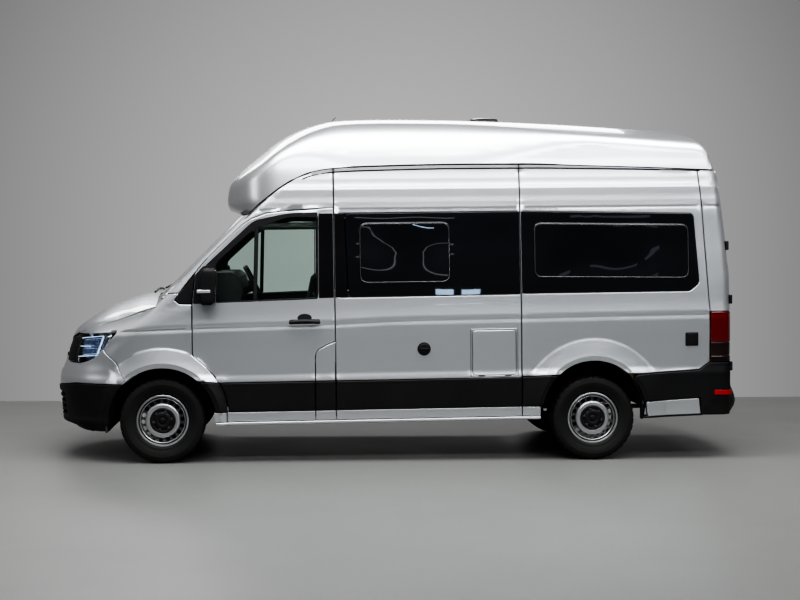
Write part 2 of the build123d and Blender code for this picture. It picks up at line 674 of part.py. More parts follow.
with BuildPart() as side_windows:
    add(glass_layer)
    add(windows_left + windows_right, mode=Mode.INTERSECT)
save(side_windows.part, "side_windows")

with BuildPart() as high_roof:
    add(roof_hull(0) - roof_hull(ROOF_WALL, ROOF_OPEN))
save(high_roof.part, "high_roof")

# Low moulded cover of the roof hatch, lying on the roof
HATCH_U = (-965, -708)
HATCH_HALF_V = 200
HATCH_TOP = 2978
HATCH_R = 50
HATCH_EDGE = 8
with BuildPart() as roof_hatch:
    with BuildSketch(Plane.XY.offset(HATCH_TOP - PAST)):
        with Locations((sum(HATCH_U) / 2, 0)):
            RectangleRounded(HATCH_U[1] - HATCH_U[0], 2 * HATCH_HALF_V, HATCH_R)
    extrude(amount=PAST)
    chamfer(roof_hatch.faces().sort_by(Axis.Z)[-1].edges(), HATCH_EDGE)
    add(roof_hull(-SEAT), mode=Mode.SUBTRACT)
save(roof_hatch.part, "roof_hatch")

# Opening panels: left pieces are drawn, right ones are their mirror images
with BuildPart() as service_flap:
    add(outer_body & side_block(FLAP, CUT_V, FAR))
    add(body_hull(FLAP_T), mode=Mode.SUBTRACT)
    for low_u in FLAP_HINGE_U:
        add(along(low_u + HINGE_H + SEAT, FLAP_AXIS, FLAP_BARREL_R + GAP, HINGE_H + GAP),
            mode=Mode.SUBTRACT)
    for low_u in FLAP_HINGE_U:
        add(along(low_u, FLAP_AXIS, FLAP_BARREL_R, HINGE_H))
        add(box_between((low_u, FLAP_LEAF[0], FLAP_AXIS[1]),
                        (low_u + HINGE_H, FLAP_LEAF[1], FLAP_AXIS[1] + FLAP_LEAF_H)))
save(service_flap.part, "service_flap")

with BuildPart() as door_left:
    add(shell)
    add(door_region, mode=Mode.INTERSECT)
    add(door_window, mode=Mode.SUBTRACT)
    for leaf, leaf_room, fixed, fixed_room in door_hinges:
        add(fixed_room, mode=Mode.SUBTRACT)
        add(leaf)
with BuildPart() as door_glass_left:
    add(glass_layer)
    add(door_window, mode=Mode.INTERSECT)

MIRROR_LOW = 1352
MIRROR_HIGH = 1658
MIRROR_FRONT = 1662
MIRROR_DEPTH = 139
MIRROR_W = 200
MIRROR_R = 45
MIRROR_ARM = (MIRROR_FRONT - 100, MIRROR_FRONT - 30, MIRROR_LOW + 20, MIRROR_LOW + 90)
mirror_out = MIRROR_SPAN / 2
with BuildPart() as door_mirror_left:
    with BuildSketch(Plane.XY.offset(MIRROR_LOW)) as case:
        with Locations((MIRROR_FRONT - MIRROR_DEPTH / 2, mirror_out - MIRROR_W / 2)):
            RectangleRounded(MIRROR_DEPTH, MIRROR_W, MIRROR_R)
    extrude(amount=MIRROR_HIGH - MIRROR_LOW)
    add(box_between((MIRROR_ARM[0], HALF - WALL, MIRROR_ARM[2]),
                    (MIRROR_ARM[1], mirror_out - MIRROR_W + MIRROR_R, MIRROR_ARM[3])))
    add(outer_body, mode=Mode.SUBTRACT)
save(door_left.part, "door_left")
save(door_glass_left.part, "door_glass_left")
save(door_mirror_left.part, "door_mirror_left")
save(mirrored(door_left.part), "door_right")
save(mirrored(door_glass_left.part), "door_glass_right")
save(mirrored(door_mirror_left.part), "door_mirror_right")

LEAF_HALF_T = 4
LEAF_REACH = 80
LEAF_FOOT = 50
LEAF_ROOT = 25
REAR_CENTRE_GAP = 5
REAR_BEVEL = 12
centre_cut = [(BEHIND, REAR_CENTRE_GAP), (REAR_FACE, REAR_CENTRE_GAP),
              (REAR_FACE + WALL, REAR_CENTRE_GAP + REAR_BEVEL),
              (REAR_FACE + 3 * WALL, REAR_CENTRE_GAP + 2 * REAR_BEVEL), (REAR_FACE + 3 * WALL, FAR),
              (BEHIND, FAR)]
with BuildPart() as rear_door_left:
    add(shell)
    add(rear_doors_region, mode=Mode.INTERSECT)
    with BuildSketch(Plane.XY):
        with BuildLine():
            Polyline(*centre_cut, close=True)
        make_face()
    extrude(amount=HEIGHT, mode=Mode.INTERSECT)
    add(rear_pane(1), mode=Mode.SUBTRACT)
    for w, (leaf, leaf_room, fixed, fixed_room) in zip(REAR_HINGE_W, rear_hinges):
        face_u = REAR_FACE + max(0, w - REAR_LEAN_W) * lean
        low_w, high_w = w + SEAT, w + SEAT + HINGE_H
        pin_u, pin_v = REAR_AXIS
        add(fixed_room, mode=Mode.SUBTRACT)
        add(leaf)
        add(box_between((pin_u - LEAF_HALF_T, pin_v - LEAF_REACH, low_w),
                        (pin_u + LEAF_HALF_T, pin_v, high_w)))
        add(box_between((pin_u - LEAF_HALF_T, pin_v - LEAF_REACH, low_w),
                        (max(pin_u, face_u) + LEAF_ROOT, pin_v - LEAF_FOOT, high_w)))
with BuildPart() as rear_glass_left:
    add(glass_layer)
    add(rear_doors_region, mode=Mode.INTERSECT)
    add(rear_pane(1), mode=Mode.INTERSECT)
save(rear_door_left.part, "rear_door_left")
save(rear_glass_left.part, "rear_glass_left")
save(mirrored(rear_door_left.part), "rear_door_right")
save(mirrored(rear_glass_left.part), "rear_glass_right")

# Cab and living space
DASH_V = 880
DASH = [(1400, 1200), (1540, 1000), (FIREWALL_U - WALL, 1000), (FIREWALL_U - WALL, 1330), (1727, 1390),
        (1715, 1560), (1560, 1612), (1400, 1612), (1350, 1570), (1310, 1440)]

# Cab seats: side outlines from the seat's rear corner on the floor, and the half width of each
SEAT_V = 480
SEAT_U = 720
SEAT_FORMS = [([(0, 0), (430, 0), (430, 280), (0, 280)], 190),
              ([(-20, 280), (480, 280), (480, 430), (-20, 430)], 250),
              ([(-20, 400), (110, 400), (-40, 1010), (-150, 1010)], 240),
              ([(-50, 1000), (-70, 1230), (-170, 1230), (-140, 1000)], 140)]
with BuildPart() as front_seats:
    for v in (SEAT_V, -SEAT_V):
        for form, half_v in SEAT_FORMS:
            add(side_block([(SEAT_U + u, FLOOR_W + w) for u, w in form], v - half_v, v + half_v))
save(front_seats.part, "front_seats")

# Living space: rear bed, wardrobe, cupboard under the window, washroom and the lockers below the roof
FURNITURE = [((-2700, -940, 600), (-1150, 940, 1150)), ((-1020, 330, 600), (-560, 940, 2300)),
             ((-540, 330, 600), (-60, 940, 1040)), ((-1140, -940, 600), (-340, -400, 1500)),
             ((-2600, 640, 2130), (-200, 940, 2440)), ((-2600, -940, 2130), (-1140, -640, 2440))]
with BuildPart() as furniture:
    for low, high in FURNITURE:
        add(box_between(low, high))
    add(inner_body - liner_volumes, mode=Mode.INTERSECT)
save(furniture.part, "furniture")

# Engine on its cradle between the rails
ENGINE_LOW = (2090, -330, 540)
ENGINE_HIGH = (2640, 330, 1010)
CRADLE_U = (2150, 2500)
CRADLE_T = 80
with BuildPart() as engine_block:
    add(box_between(ENGINE_LOW, ENGINE_HIGH))
    add(box_between((CRADLE_U[0], -RAIL_V[1], FLOOR_LOW), (CRADLE_U[1], RAIL_V[1], FLOOR_LOW + CRADLE_T)))
save(engine_block.part, "engine_block")

# Running gear, in the world frame
BEAM_HALF_X = 170
BEAM_V = 480
BEAM_W = (240, 400)
ARM_HALF_X = 25
ARM_W = (200, 230)
ARM_PAST_PIN = 20
ARM_ROOT = (455, 485)
PIN_R = 28
PIN_TOP = 234
PERCH_HALF_X = 120
PERCH_W = (390, 430)


def slab(x, half_x, side, span_y, span_z):
    """A block about the station x, between two distances from the centre line on one side."""
    low_y, high_y = sorted((side * span_y[0], side * span_y[1]))
    return box_between((x - half_x, low_y, span_z[0]), (x + half_x, high_y, span_z[1]))


with BuildPart() as front_subframe:
    add(slab(FRONT_AXLE_X, BEAM_HALF_X, 1, (-BEAM_V, BEAM_V), BEAM_W))
    for side in (1, -1):
        add(slab(FRONT_AXLE_X, ARM_HALF_X, side, (BEAM_V, KINGPIN_Y + ARM_PAST_PIN), ARM_W))
        add(upright(FRONT_AXLE_X, side * KINGPIN_Y, ARM_W[0], PIN_R, PIN_TOP - ARM_W[0]))
        add(slab(FRONT_AXLE_X, ARM_HALF_X, side, ARM_ROOT, (ARM_W[0], BEAM_W[0] + CLEAR)))
        add(slab(FRONT_AXLE_X, PERCH_HALF_X, side, RAIL_V, PERCH_W))
save(front_subframe.part - floor_pan.part.moved(BODY.location), "front_subframe", tipped=False)


def turned(points, x, y, z, side):
    """A ring about a wheel centre, from its closed profile of (outboard, radius) pairs."""
    with BuildPart() as ring:
        with BuildSketch(Plane(origin=(x, y, z), x_dir=(0, side, 0), z_dir=(side, 0, 0))):
            with BuildLine():
                Polyline(*points, close=True)
            make_face()
        revolve(axis=Axis((x, y, z), (0, 1, 0)))
    return ring.part


BEAD_R = 203
FLANGE = 8
HALF_RIM = RIM_W / 2
HALF_TYRE = TYRE_W / 2
BEAD_S = HALF_RIM - FLANGE
TYRE_SIDE = [(BEAD_S, BEAD_R), (BEAD_S, RIM_R), (HALF_RIM, RIM_R), (HALF_TYRE - 8, 252), (HALF_TYRE, 288),
             (HALF_TYRE - 5, 325), (HALF_TYRE - 22, 347), (HALF_TYRE - 42, TYRE_R - 2)]
TYRE_PROFILE = TYRE_SIDE + [(0, TYRE_R)] + [(-s, r) for s, r in reversed(TYRE_SIDE)]
MOUNT_FACE = 60
CAP_R = 104
CAP_OUT = 96
WHEEL_PROFILE = [(MOUNT_FACE, 0), (CAP_OUT, 0), (CAP_OUT - 6, 60), (82, CAP_R), (76, 112), (62, 141),
                 (56, 163), (56, 186), (66, 196), (HALF_RIM - 10, BEAD_R - 8), (HALF_RIM, BEAD_R - 2),
                 (HALF_RIM, RIM_R),
                 (BEAD_S, RIM_R), (BEAD_S, BEAD_R), (-BEAD_S, BEAD_R), (-BEAD_S, RIM_R), (-HALF_RIM, RIM_R),
                 (-HALF_RIM, BEAD_R - 4), (-BEAD_S, BEAD_R - 10), (48, BEAD_R - 10), (46, 186), (48, 160),
                 (54, 138), (66, 110), (MOUNT_FACE + 8, 95), (MOUNT_FACE, 95)]
CORNERS = [("front_left", FRONT_AXLE_X, FRONT_TRACK / 2, 1),
           ("front_right", FRONT_AXLE_X, -FRONT_TRACK / 2, -1),
           ("rear_left", REAR_AXLE_X, REAR_TRACK / 2, 1),
           ("rear_right", REAR_AXLE_X, -REAR_TRACK / 2, -1)]
for place, x, y, side in CORNERS:
    with BuildPart() as tyre:
        add(turned(TYRE_PROFILE, x, y, TYRE_R, side))
    save(tyre.part, f"tyre_{place}", tipped=False)
    with BuildPart() as wheel:
        add(turned(WHEEL_PROFILE, x, y, TYRE_R, side))
        hole_plane = Plane(origin=(x, y, TYRE_R), x_dir=(1, 0, 0), z_dir=(0, side, 0))
        with BuildSketch(hole_plane):
            with PolarLocations(HUB_HOLE_PITCH_R, HUB_HOLE_COUNT, start_angle=7):
                Circle(HUB_HOLE_R)
        extrude(amount=HALF_RIM, mode=Mode.SUBTRACT)
    save(wheel.part, f"wheel_{place}", tipped=False)

# Front knuckles with their discs: they turn on an upright kingpin
DISC_R = 150
HUB_R = 65
HUB_FACE = MOUNT_FACE - SEAT
KNUCKLE_PROFILE = [(-60, 0), (HUB_FACE, 0), (HUB_FACE, HUB_R), (HUB_FACE - 12, HUB_R), (HUB_FACE - 12, 90),
                   (14, 100), (14, DISC_R), (-10, DISC_R), (-10, 60), (-60, 60)]
KNUCKLE_HALF_X = 45
KNUCKLE_Y = (KINGPIN_Y - 32, KINGPIN_Y + 28)
KNUCKLE_Z = (PIN_TOP + SEAT, TYRE_R + 90)
CALIPER_X = 85
CALIPER_HALF_X = 45
CALIPER_Y = (KINGPIN_Y - 20, KINGPIN_Y + 40)
CALIPER_Z = (TYRE_R + 20, TYRE_R + 60)
for name, side in (("knuckle_left", 1), ("knuckle_right", -1)):
    with BuildPart() as knuckle:
        add(turned(KNUCKLE_PROFILE, FRONT_AXLE_X, side * FRONT_TRACK / 2, TYRE_R, side))
        add(slab(FRONT_AXLE_X, KNUCKLE_HALF_X, side, KNUCKLE_Y, KNUCKLE_Z))
        add(slab(FRONT_AXLE_X - CALIPER_X, CALIPER_HALF_X, side, CALIPER_Y, CALIPER_Z))
    save(knuckle.part, name, tipped=False)

# Rear beam, hubs and leaf springs
DRUM_PROFILE = [(-100, 0), (HUB_FACE, 0), (HUB_FACE, HUB_R), (HUB_FACE - 12, HUB_R), (HUB_FACE - 12, 90),
                (20, 130), (-40, 140), (-100, 140)]
TUBE_R = 42
TUBE_HALF_Y = 800
SPRING_Y = (435, 505)
SPRING_Z = (TYRE_R + 30, TYRE_R + 60)
SPRING_HALF_X = 650
SHACKLE_HALF_X = 20
SHACKLES = (-620, 620)
SHACKLE_TOP = 490
with BuildPart() as rear_axle:
    for side in (1, -1):
        add(turned(DRUM_PROFILE, REAR_AXLE_X, side * REAR_TRACK / 2, TYRE_R, side))
        add(slab(REAR_AXLE_X, SPRING_HALF_X, side, SPRING_Y, SPRING_Z))
        for end in SHACKLES:
            add(slab(REAR_AXLE_X + end, SHACKLE_HALF_X, side, SPRING_Y, (SPRING_Z[0], SHACKLE_TOP)))
    add(across(REAR_AXLE_X, TYRE_R, TUBE_R, -TUBE_HALF_Y, TUBE_HALF_Y))
save(rear_axle.part - floor_pan.part.moved(BODY.location), "rear_axle", tipped=False)

# Fuel tank, water tank and silencer under the floor: (rear, front, underside)
TANK_HALF_V = 420
TANKS = [(-900, -100, 330), (300, 1150, 330), (-2640, -2320, 360)]
with BuildPart() as underfloor_tanks:
    for rear_u, front_u, low in TANKS:
        add(box_between((rear_u, -TANK_HALF_V, low), (front_u, TANK_HALF_V, FLOOR_LOW)))
save(underfloor_tanks.part, "underfloor_tanks")

# Steering wheel on its raked column
STEER_CENTRE = (1221, 480, 1496)
STEER_DIR = (-0.90, 0, 0.43)
STEER_R = 190
RIM_GRIP_R = 15
BOSS_R = 62
BOSS_T = 40
BOSS_BACK = 45
SPOKE_W = 34
SPOKE_T = 16
SPOKE_BACK = 25
COLUMN_R = 38
COLUMN_L = 420
column = Plane(origin=STEER_CENTRE, x_dir=(0, 1, 0), z_dir=STEER_DIR)
with BuildPart() as steering_wheel:
    with BuildSketch(Plane(origin=column.origin, x_dir=column.x_dir, z_dir=-column.y_dir)):
        with Locations((STEER_R - RIM_GRIP_R, 0)):
            Circle(RIM_GRIP_R)
    revolve(axis=Axis(column.origin, column.z_dir))
    with BuildSketch(column.offset(-BOSS_BACK)):
        Circle(BOSS_R)
    extrude(amount=BOSS_T)
    with BuildSketch(column.offset(-SPOKE_BACK)):
        Rectangle(2 * (STEER_R - RIM_GRIP_R), SPOKE_W)
        with Locations((0, -STEER_R / 2)):
            Rectangle(SPOKE_W, STEER_R - RIM_GRIP_R)
    extrude(amount=SPOKE_T)
with BuildPart() as steering_column:
    with BuildSketch(column.offset(-BOSS_BACK - SEAT)):
        Circle(COLUMN_R)
    extrude(amount=-COLUMN_L)
with BuildPart() as dashboard:
    add(inner_body)
    add(side_block(DASH, -DASH_V, DASH_V), mode=Mode.INTERSECT)
    add(floor_pan.part, mode=Mode.SUBTRACT)
    add(steering_column.part)
    add(cab_shell.part, mode=Mode.SUBTRACT)
save(steering_wheel.part, "steering_wheel")
save(dashboard.part, "dashboard")
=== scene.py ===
import math

import bmesh
import bpy
import numpy as np
from mathutils import Matrix, Vector, geometry


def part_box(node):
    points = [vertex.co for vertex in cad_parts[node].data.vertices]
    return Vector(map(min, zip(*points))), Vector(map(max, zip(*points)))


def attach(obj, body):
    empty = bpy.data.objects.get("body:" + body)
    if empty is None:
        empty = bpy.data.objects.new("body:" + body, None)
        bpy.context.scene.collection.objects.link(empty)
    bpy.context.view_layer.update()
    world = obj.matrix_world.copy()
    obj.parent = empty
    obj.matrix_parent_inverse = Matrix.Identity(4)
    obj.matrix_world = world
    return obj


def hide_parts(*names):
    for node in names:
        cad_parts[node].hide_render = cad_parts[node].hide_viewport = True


# A camper van: a long panel van with a moulded high roof, in a plain studio.
# The body is drawn level in its own frame (u forward, v to the left, w up) and tipped by TIP,
# as it stands nose-down. Outlines are written in millimetres and used in metres.
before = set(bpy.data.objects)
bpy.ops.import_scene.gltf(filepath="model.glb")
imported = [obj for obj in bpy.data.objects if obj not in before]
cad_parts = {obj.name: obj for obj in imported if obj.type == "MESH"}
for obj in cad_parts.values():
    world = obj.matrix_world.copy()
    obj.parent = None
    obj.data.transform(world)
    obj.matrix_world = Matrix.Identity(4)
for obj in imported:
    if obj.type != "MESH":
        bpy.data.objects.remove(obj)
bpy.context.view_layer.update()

MM = 0.001
TIP = Matrix.Rotation(math.radians(0.8), 4, "Y")
HALF = 1.020
PICTURE_WIDTH = 800
FOCAL_PX = 1402.4
CAMERA_AT = (0.847, 12.746, 1.806)
CAMERA_TURN = (4.06, 2.14, 0.11)
BODY = ("body", "body")
DOORS = ("door_left", "door_right")
REAR_DOORS = ("rear_door_left", "rear_door_right")

# ---------------------------------------------------------------- numbers and curves


def smooth_curve(*points):
    """A smooth function through (x, y) points, which never overshoots between them."""
    x, y = np.array(sorted(points), float).T * MM
    run = np.diff(x)
    rise = np.diff(y) / run
    slope = np.concatenate([[rise[0]], np.zeros(len(x) - 2), [rise[-1]]])
    same = rise[:-1] * rise[1:] > 0
    slope[1:-1][same] = (2 * rise[:-1] * rise[1:])[same] / (rise[:-1] + rise[1:])[same]

    def at(q):
        q = np.clip(q, x[0], x[-1])
        i = np.clip(np.searchsorted(x, q) - 1, 0, len(run) - 1)
        t = (q - x[i]) / run[i]
        start = y[i] * (1 + 2 * t) + slope[i] * run[i] * t
        end = y[i + 1] * (3 - 2 * t) + slope[i + 1] * run[i] * (t - 1)
        return start * (1 - t) ** 2 + end * t * t

    return at


def smax(a, b, r):
    """The larger of two, with the corner between them rounded over r."""
    overlap = np.maximum(r - np.abs(a - b), 0) / r
    return np.maximum(a, b) + overlap * overlap * r * 0.25


def ease(t):
    """0 to 1 with soft ends."""
    t = np.clip(t, 0, 1)
    return t * t * (3 - 2 * t)


# ---------------------------------------------------------------- the body's surface

# Half width of the side at each height: silver foot, tuck, crease, belt, swages under the roof
SIDE_LEVELS = [335, 372, 448, 455, 560, 690, 700, 722, 745, 775, 830, 950, 1060, 1130, 1150, 1166, 1174, 1180,
               1203, 1226, 1300, 1400, 1500, 1600, 1720, 1850, 1980, 2070, 2105, 2122, 2130, 2136, 2144, 2152,
               2182, 2205, 2250, 2292, 2306, 2316, 2350, 2400, 2440, 2520]
SIDE_HALVES = [984, 990, 994, 996, 1004, 1011, 1012, 1010, 1004, 1000, 1000, 1004, 1007, 1007, 1005, 1002,
               1001, 1009, 1011, 1008, 1001, 995, 989, 982, 974, 965, 959, 956, 954, 952, 948, 948, 953, 951,
               950, 946, 942, 941, 939, 934, 926, 919, 907]
side_section = smooth_curve(*zip(SIDE_LEVELS, SIDE_HALVES))
crease_line = smooth_curve((2336, 1149), (1666, 1171), (545, 1194), (-4, 1212), (-1039, 1219), (-2641, 1229))
CREASE_LEVEL = 1.197
NOSE_U = 1.70
# The foremost line of the nose at each height, and its bonnet: centre line and drop towards the sides
front_line = smooth_curve((200, 2690), (249, 2730), (332, 2888), (365, 2960), (408, 2943), (495, 2950),
                          (594, 2964), (645, 2970), (713, 2966), (768, 2954), (877, 2910), (960, 2888),
                          (1062, 2860), (1500, 2848))
bonnet_line = smooth_curve((1400, 1540), (2031, 1441), (2187, 1423), (2355, 1379), (2534, 1310), (2679, 1227),
                           (2800, 1127), (2862, 1055), (2960, 900))
bonnet_drop = smooth_curve((1400, 60), (1875, 105), (2045, 150), (2361, 225), (2716, 150), (2995, 90))
rear_line = smooth_curve((200, -2875), (1500, -2875), (1640, -2866), (2445, -2778), (2600, -2760))
SCREEN_FOOT = (2031 * MM, 1441 * MM)
SCREEN_RUN = -665 / 653
SCREEN_BOW = 13.0
FRONT_WHEEL = (1.992, 0.378)
REAR_WHEEL = (-1.648, 0.390)
# A flare round a wheel: inner radius, lip, and outer radius at the top and at its feet
FLARES = [(*FRONT_WHEEL, 0.450, 0.492, 0.628, 0.556), (*REAR_WHEEL, 0.437, 0.478, 0.645, 0.640)]
FLARE_PROUD = 0.029


def flare(u, w):
    """How far the side stands proud of its section round the wheels."""
    proud = 0
    for cu, cw, inner, lip, top, foot in FLARES:
        reach = np.hypot(u - cu, w - cw)
        up = np.clip((w - cw) / np.maximum(reach, 1e-6), 0, 1)
        outer = foot + (top - foot) * ease((up - 0.4) / 0.6)
        across = (outer - reach) / (outer - lip)
        rise = (np.clip(across, 0, 1) ** 1.15 - 0.16 * np.exp(-((across / 0.11) ** 2))) * FLARE_PROUD
        proud = np.maximum(proud, rise - 0.006 * ease((lip - reach) / 0.010))
    return proud


def level_shift(u, w):
    """How far the crease lies from its own level, felt only near it."""
    return (CREASE_LEVEL - crease_line(u)) * np.exp(-(((w - 1.2) / 0.17) ** 2))


def side_half(u, w):
    """Half width of the body at a place on its side."""
    return side_section(w + level_shift(u, w)) + flare(u, w)


def wall_field(u, v, w):
    """Below 0 inside the sides and the rounded front and rear of the body."""
    half = side_half(u, w)
    ahead = np.clip((u - NOSE_U) / (front_line(w) - NOSE_U), 0, None)
    plan = np.hypot(v / half, ahead ** 2)
    back = rear_line(w) + 0.028 * v * v - u
    return smax((plan - 1) * half, back, 0.095)


def nose_field(u, v, w):
    """The bonnet, wings and front end."""
    crown = bonnet_line(u) - bonnet_drop(u) * (np.abs(v) / HALF) ** 2.2
    return smax(wall_field(u, v, w), (w - crown) * 0.93, 0.11)


def cab_field(u, v, w):
    """The cab behind the windscreen."""
    screen = (u - (SCREEN_FOOT[0] + (w - SCREEN_FOOT[1]) * SCREEN_RUN) + v * v / SCREEN_BOW) * 0.70
    return smax(wall_field(u, v, w), screen, 0.085)


def wing_field(u, v, w):
    """The wings, where they run up into the windscreen pillars."""
    return -smax(-nose_field(u, v, w), -cab_field(u, v, w), 0.03)


# The moulded roof: its section is a rounded arch that follows the centre line, its plan is rounded at both ends
roof_line = smooth_curve((1468, 2300), (1431, 2404), (1284, 2563), (1170, 2651), (992, 2786), (829, 2873),
                         (685, 2925), (522, 2960), (361, 2970), (118, 2974), (-369, 2968), (-1019, 2946),
                         (-1570, 2916), (-2209, 2870), (-2600, 2836), (-2664, 2808), (-2690, 2745),
                         (-2800, 2400))
roof_seam = smooth_curve((1440, 2150), (1347, 2116), (1285, 2096), (1152, 2196), (986, 2322), (850, 2403),
                         (715, 2455), (534, 2483), (323, 2493), (-536, 2506), (-1033, 2505), (-1596, 2490),
                         (-2192, 2468), (-2692, 2445), (-2906, 2436))
roof_side = smooth_curve((2090, 958), (2440, 922), (2560, 900), (2700, 878), (3000, 850))
roof_front = smooth_curve((2080, 1330), (2112, 1370), (2150, 1440), (2210, 1466), (2262, 1470), (3000, 1470))
roof_back = smooth_curve((2430, -2782), (2500, -2762), (2745, -2692), (3000, -2620))
ROOF_SWEEP_U = 0.55
ROOF_FRONT_U = 0.88
ROOF_BACK_U = -2.30


def roof_field(u, v, w):
    """Below 0 inside the moulded roof."""
    half = roof_side(w)
    ahead = np.clip((u - ROOF_SWEEP_U) / (roof_front(w) - ROOF_SWEEP_U), 0, None)
    side = (np.hypot(v / half, ahead ** 2.5) - 1) * half
    behind = roof_back(w) + 0.03 * v * v - u
    outer = np.clip(np.abs(v) / 0.87, 0, 1)
    crown = (w - roof_line(u) + 0.018 + 0.15 * outer ** 2) * 0.85
    soft = ease((u + 1.7) / 1.3) * ease((1.1 - u) / 0.8)
    return smax(smax(side, behind, 0.07), crown, 0.07 + 0.24 * outer * soft)


def strike(field, start, way, reach):
    """Where rays first meet the surface of a field."""
    near, far = np.zeros(len(start)), np.full(len(start), float(reach))
    for _ in range(26):
        middle = (near + far) / 2
        inside = field(*(start + way * middle[:, None]).T) < 0
        far, near = np.where(inside, middle, far), np.where(inside, near, middle)
    return start + way * far[:, None]


def outward(field, points):
    """Unit normals of a field at points on its surface."""
    step = np.eye(3) * 0.0006
    grad = np.stack([field(*(points + s).T) - field(*(points - s).T) for s in step], 1)
    return grad / np.maximum(np.linalg.norm(grad, axis=1, keepdims=True), 1e-9)


# Ways to look at a panel: how a point (a, b) of its outline becomes a ray
ROUND_AT = (2.10, 0.0)
ROUND_R = 0.90
REAR_ROUND_AT = (-2.20, 0.0)


def rays(view, a, b):
    """Start, direction and reach of the rays through outline points."""
    zero = np.zeros_like(a)
    if view == "side":
        return np.stack([a, zero + 1.4, b], 1), np.stack([zero, zero - 1, zero], 1), 1.39
    if view == "top":
        return np.stack([a, b, zero + 3.4], 1), np.stack([zero, zero, zero - 1], 1), 3.2
    if view == "front":
        return np.stack([zero + 3.4, a, b], 1), np.stack([zero - 1, zero, zero], 1), 3.2
    if view == "rear":
        return np.stack([zero - 3.4, a, b], 1), np.stack([zero + 1, zero, zero], 1), 3.2
    at = ROUND_AT if view == "round" else REAR_ROUND_AT
    turn = a / ROUND_R if view == "round" else math.pi - a / ROUND_R
    way = -np.stack([np.cos(turn), np.sin(turn), zero], 1)
    return np.stack([at[0] - way[:, 0] * 2, at[1] - way[:, 1] * 2, b], 1), way, 1.95


def round_a(u, v, view="round"):
    """The outline coordinate, in millimetres, of a plan point for a panel seen all round."""
    at = ROUND_AT if view == "round" else REAR_ROUND_AT
    turn = math.atan2(v * MM, abs(u * MM - at[0]))
    return turn * ROUND_R / MM


# ---------------------------------------------------------------- panels


def rounded(points, radius):
    """An outline with its corners rounded, in metres. Radius is one number, or one for each corner."""
    radii = [radius] * len(points) if np.isscalar(radius) else radius
    out = []
    for i, (point, r) in enumerate(zip(points, radii)):
        here = Vector(point) * MM
        back, ahead = (Vector(points[i - 1]) * MM - here), (Vector(points[(i + 1) % len(points)]) * MM - here)
        r = min(r * MM, 0.45 * back.length, 0.45 * ahead.length)
        if r < 0.002 or back.angle(ahead) > math.radians(176):
            out.append(here)
            continue
        start, end = here + back.normalized() * r, here + ahead.normalized() * r
        for k in range(5):
            t = k / 4
            out.append(start * (1 - t) ** 2 + here * 2 * t * (1 - t) + end * t * t)
    return [tuple(p) for p in out]


def divided(points, step):
    """A closed outline with points no further apart than step."""
    out = []
    for a, b in zip(points, points[1:] + points[:1]):
        count = max(1, math.ceil(math.dist(a, b) / step))
        out += [(a[0] + (b[0] - a[0]) * k / count, a[1] + (b[1] - a[1]) * k / count) for k in range(count)]
    return out


def inset_loop(points, amount):
    """The same number of points, moved to the left of their direction of travel."""
    p = np.array(points)
    along = np.roll(p, -1, 0) - np.roll(p, 1, 0)
    along /= np.maximum(np.linalg.norm(along, axis=1, keepdims=True), 1e-9)
    return p + np.stack([-along[:, 1], along[:, 0]], 1) * amount


def turned_left(points):
    """The outline, running anticlockwise."""
    p = np.array(points)
    q = np.roll(p, -1, 0)
    return points if (p[:, 0] * q[:, 1] - q[:, 0] * p[:, 1]).sum() > 0 else points[::-1]


def is_within(points, loops):
    """Which points lie inside an odd number of the loops."""
    inside = np.zeros(len(points), bool)
    for loop in loops:
        a = np.array(loop)
        b = np.roll(a, -1, 0)
        for (ax, ay), (bx, by) in zip(a, b):
            crosses = (ay > points[:, 1]) != (by > points[:, 1])
            if ay != by:
                inside ^= crosses & (points[:, 0] < (bx - ax) * (points[:, 1] - ay) / (by - ay) + ax)
    return inside


def far_from(points, loop, distance):
    """Which points lie at least distance from every point of a loop."""
    keep = np.ones(len(points), bool)
    for x, y in loop:
        keep &= (points[:, 0] - x) ** 2 + (points[:, 1] - y) ** 2 > distance ** 2
    return keep


def fill_points(view, loops, step):
    """Points inside the loops, in rows that follow the side's own levels."""
    low, high = np.min(loops[0], 0), np.max(loops[0], 0)
    across = np.arange(low[0] + step / 2, high[0], step)
    if view == "side":
        levels = [w * MM for w in SIDE_LEVELS]
        fine = [a + (b - a) * k / max(1, math.ceil((b - a) / step)) for a, b in zip(levels, levels[1:])
                for k in range(max(1, math.ceil((b - a) / step)))]
        grid = np.array([(u, w) for u in across for w in fine])
        grid[:, 1] -= level_shift(grid[:, 0], grid[:, 1])
    else:
        grid = np.array([(x, y) for x in across for y in np.arange(low[1] + step / 2, high[1],
                                                                   step)]).reshape(-1, 2)
    for cu, cw, inner, lip, top, foot in FLARES if view == "side" else []:
        radii = list(np.linspace(inner, lip + 0.012, 6)) + list(np.linspace(lip + 0.03, top + 0.02, 8))
        ring = np.array([(cu + r * math.cos(a), cw + r * math.sin(a)) for r in radii
                         for a in np.linspace(0, math.pi, 90)])
        grid = grid[np.hypot(grid[:, 0] - cu, grid[:, 1] - cw) > top + 0.035]
        grid = np.concatenate([grid, ring[(ring[:, 1] > 0.3)]])
    inside = grid[is_within(grid, loops)]
    for loop in loops:
        inside = inside[far_from(inside, loop, step * 0.45 if view != "side" else 0.016)]
    return inside


ROLL = 0.007


